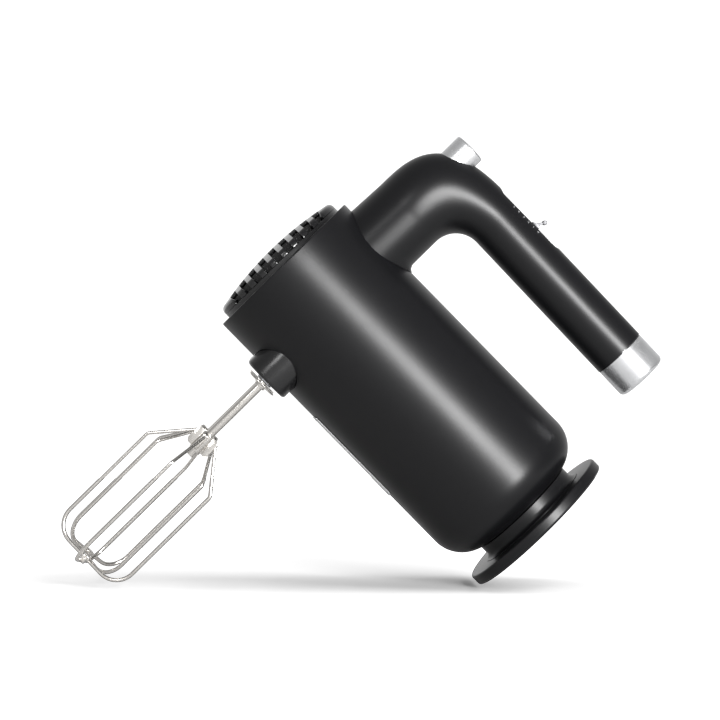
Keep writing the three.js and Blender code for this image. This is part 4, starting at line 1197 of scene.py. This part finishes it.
def paint_inner_pieces():
    # The brackets, gearbox and switch take the nylon painted near black, painted shade for the inside behind
    # the grille's slots.
    finishes = {
        "motor_shaft": MACHINED, "armature_core": LAMINATED, "armature_winding": COPPER,
        "commutator": COMMUTATOR, "cooling_fan": NYLON, "stator_core": LAMINATED,
        "field_coil_left": COPPER, "field_coil_right": COPPER, "motor_front_bracket": NYLON_PAINTED_DARK,
        "motor_rear_bracket": NYLON_PAINTED_DARK, "rear_bearing": BRONZE, "gearbox_bearing": BRONZE,
        "front_bearing": BRONZE, "brush_holder_1": BRONZE, "brush_holder_2": BRONZE,
        "carbon_brush_1": CARBON, "carbon_brush_2": CARBON, "gearbox_frame": NYLON_PAINTED_DARK,
        "gearbox_cover": NYLON_PAINTED_DARK, "speed_switch": NYLON_PAINTED_DARK, "internal_leads": SLEEVE,
        "worm_gear_left": NYLON, "worm_gear_right": NYLON, "eject_push_rod": NYLON,
        "eject_plate": NYLON, "eject_spring": MACHINED,
    }
    for name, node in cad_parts.items():
        if node.hide_render:
            continue
        finish = finishes.get(name, SCREW if "screw" in name else MACHINED)
        node.data.materials.clear()
        node.data.materials.append(finish)


# ---------- stage, light and camera ----------

camera_tilt = math.radians(44.48)  # the mixer leans back this far in the view
VIEW_RIGHT = Vector((math.cos(camera_tilt), 0, -math.sin(camera_tilt)))
VIEW_UP = Vector((math.sin(camera_tilt), 0, math.cos(camera_tilt)))
FLOOR_DISTANCE = 33


def make_camera():
    data = bpy.data.cameras.new("camera")
    data.lens = 156
    data.sensor_width = 36
    camera = bpy.data.objects.new("camera", data)
    bpy.context.scene.collection.objects.link(camera)
    place = Vector((-6.7, -1680, 196.5)) * MM
    aim = Vector((-6.7, 0, 131.9)) * MM
    forward = (aim - place).normalized()
    right = (VIEW_RIGHT - forward * VIEW_RIGHT.dot(forward)).normalized()
    up = right.cross(forward)
    turn = Matrix((right, up, -forward)).transposed()
    camera.matrix_world = Matrix.Translation(place) @ turn.to_4x4()
    data.clip_start = 0.05
    data.clip_end = 20
    bpy.context.scene.camera = camera


def make_light(name, direction, distance, width, height, power, along, shine=True):
    """A softbox that faces the middle of the mixer, with its long side along a direction."""
    data = bpy.data.lights.new(name, "AREA")
    data.shape = "RECTANGLE"
    data.size = width
    data.size_y = height
    data.energy = power
    light = bpy.data.objects.new(name, data)
    bpy.context.scene.collection.objects.link(light)
    middle = Vector((10, 0, 110)) * MM
    back = Vector(direction).normalized()
    across = (Vector(along) - back * Vector(along).dot(back)).normalized()
    turn = Matrix((across.cross(back) * -1, across, back)).transposed()
    light.matrix_world = Matrix.Translation(middle + back * distance) @ turn.to_4x4()
    light.visible_glossy = shine


def make_world():
    """A pale studio, white behind the mixer. Its light is dimmer from above, below and the handle's side."""
    world = bpy.data.worlds.new("studio")
    bpy.context.scene.world = world
    world.use_nodes = True
    maker = Maker(world.node_tree)
    background = world.node_tree.nodes["Background"]
    background.inputs["Color"].default_value = (1, 1, 1, 1)
    x, y, z = maker.split(maker.node("ShaderNodeTexCoord", output="Generated"))
    ends = 1 - 0.6 * maker.larger(z, 0) - 0.93 * maker.larger(0 - z, 0)
    side = 1 - 0.75 * maker.larger(x, 0)
    back = 1 + 0.35 * maker.larger(y, 0)
    seen = maker.node("ShaderNodeLightPath", output="Is Camera Ray")
    maker.feed(background.inputs["Strength"], seen * 1.3 + (1 - seen) * ends * side * back * 0.92)


def make_floor():
    """A plain pale floor under the leaning mixer, which only takes its soft shadow.

    It is clear from below, so that it hides nothing of the mixer from there.
    """
    half = 900
    bm = bmesh.new()
    across, deep = VIEW_RIGHT * half, Vector((0, half, 0))
    middle = VIEW_UP * -FLOOR_DISTANCE
    corners = [middle - across - deep, middle + across - deep, middle + across + deep, middle - across + deep]
    bm.faces.new([bm.verts.new(p) for p in corners])
    floor = as_object(bm, "floor")
    finish = Finish("pale_floor", (0.35, 0.35, 0.35), Roughness=0.9, Specular_IOR_Level=0.0)
    surface = finish.node("ShaderNodeMixShader", None, {
        0: finish.node("ShaderNodeNewGeometry", output="Backfacing"),
        1: Field(finish, finish.shader.outputs[0]), 2: finish.node("ShaderNodeBsdfTransparent"),
    })
    finish.feed(finish.tree.nodes["Material Output"].inputs["Surface"], surface)
    floor.data.materials.append(finish.material)
    floor.is_shadow_catcher = True


def make_stage():
    scene = bpy.context.scene
    scene.view_settings.view_transform = "Standard"
    make_camera()
    make_world()
    make_floor()
    make_light("key_softbox", (0.40, -0.88, -0.2), 1.3, 0.34, 0.7, 37, (0, 0, 1))
    make_light("front_softbox", (0.03, -0.83, 0.56), 1.4, 0.32, 0.3, 2.8, (0, 0, 1))
    make_light("top_softbox", VIEW_UP, 1.4, 0.9, 0.9, 9, (0, 1, 0), shine=False)
    shadow_way = VIEW_UP + VIEW_RIGHT * 0.8 + Vector((0, -0.4, 0))
    make_light("right_softbox", shadow_way, 1.7, 1.2, 1.2, 36, (0, 0, 1), shine=False)


make_heel()
make_heel_screws()
make_neck()
make_barrel()
make_label()
make_grille()
make_boss()
make_handle()
make_panel()
make_digits()
make_slider()
make_cap()
make_button()
make_beaters()
paint_inner_pieces()
make_stage()
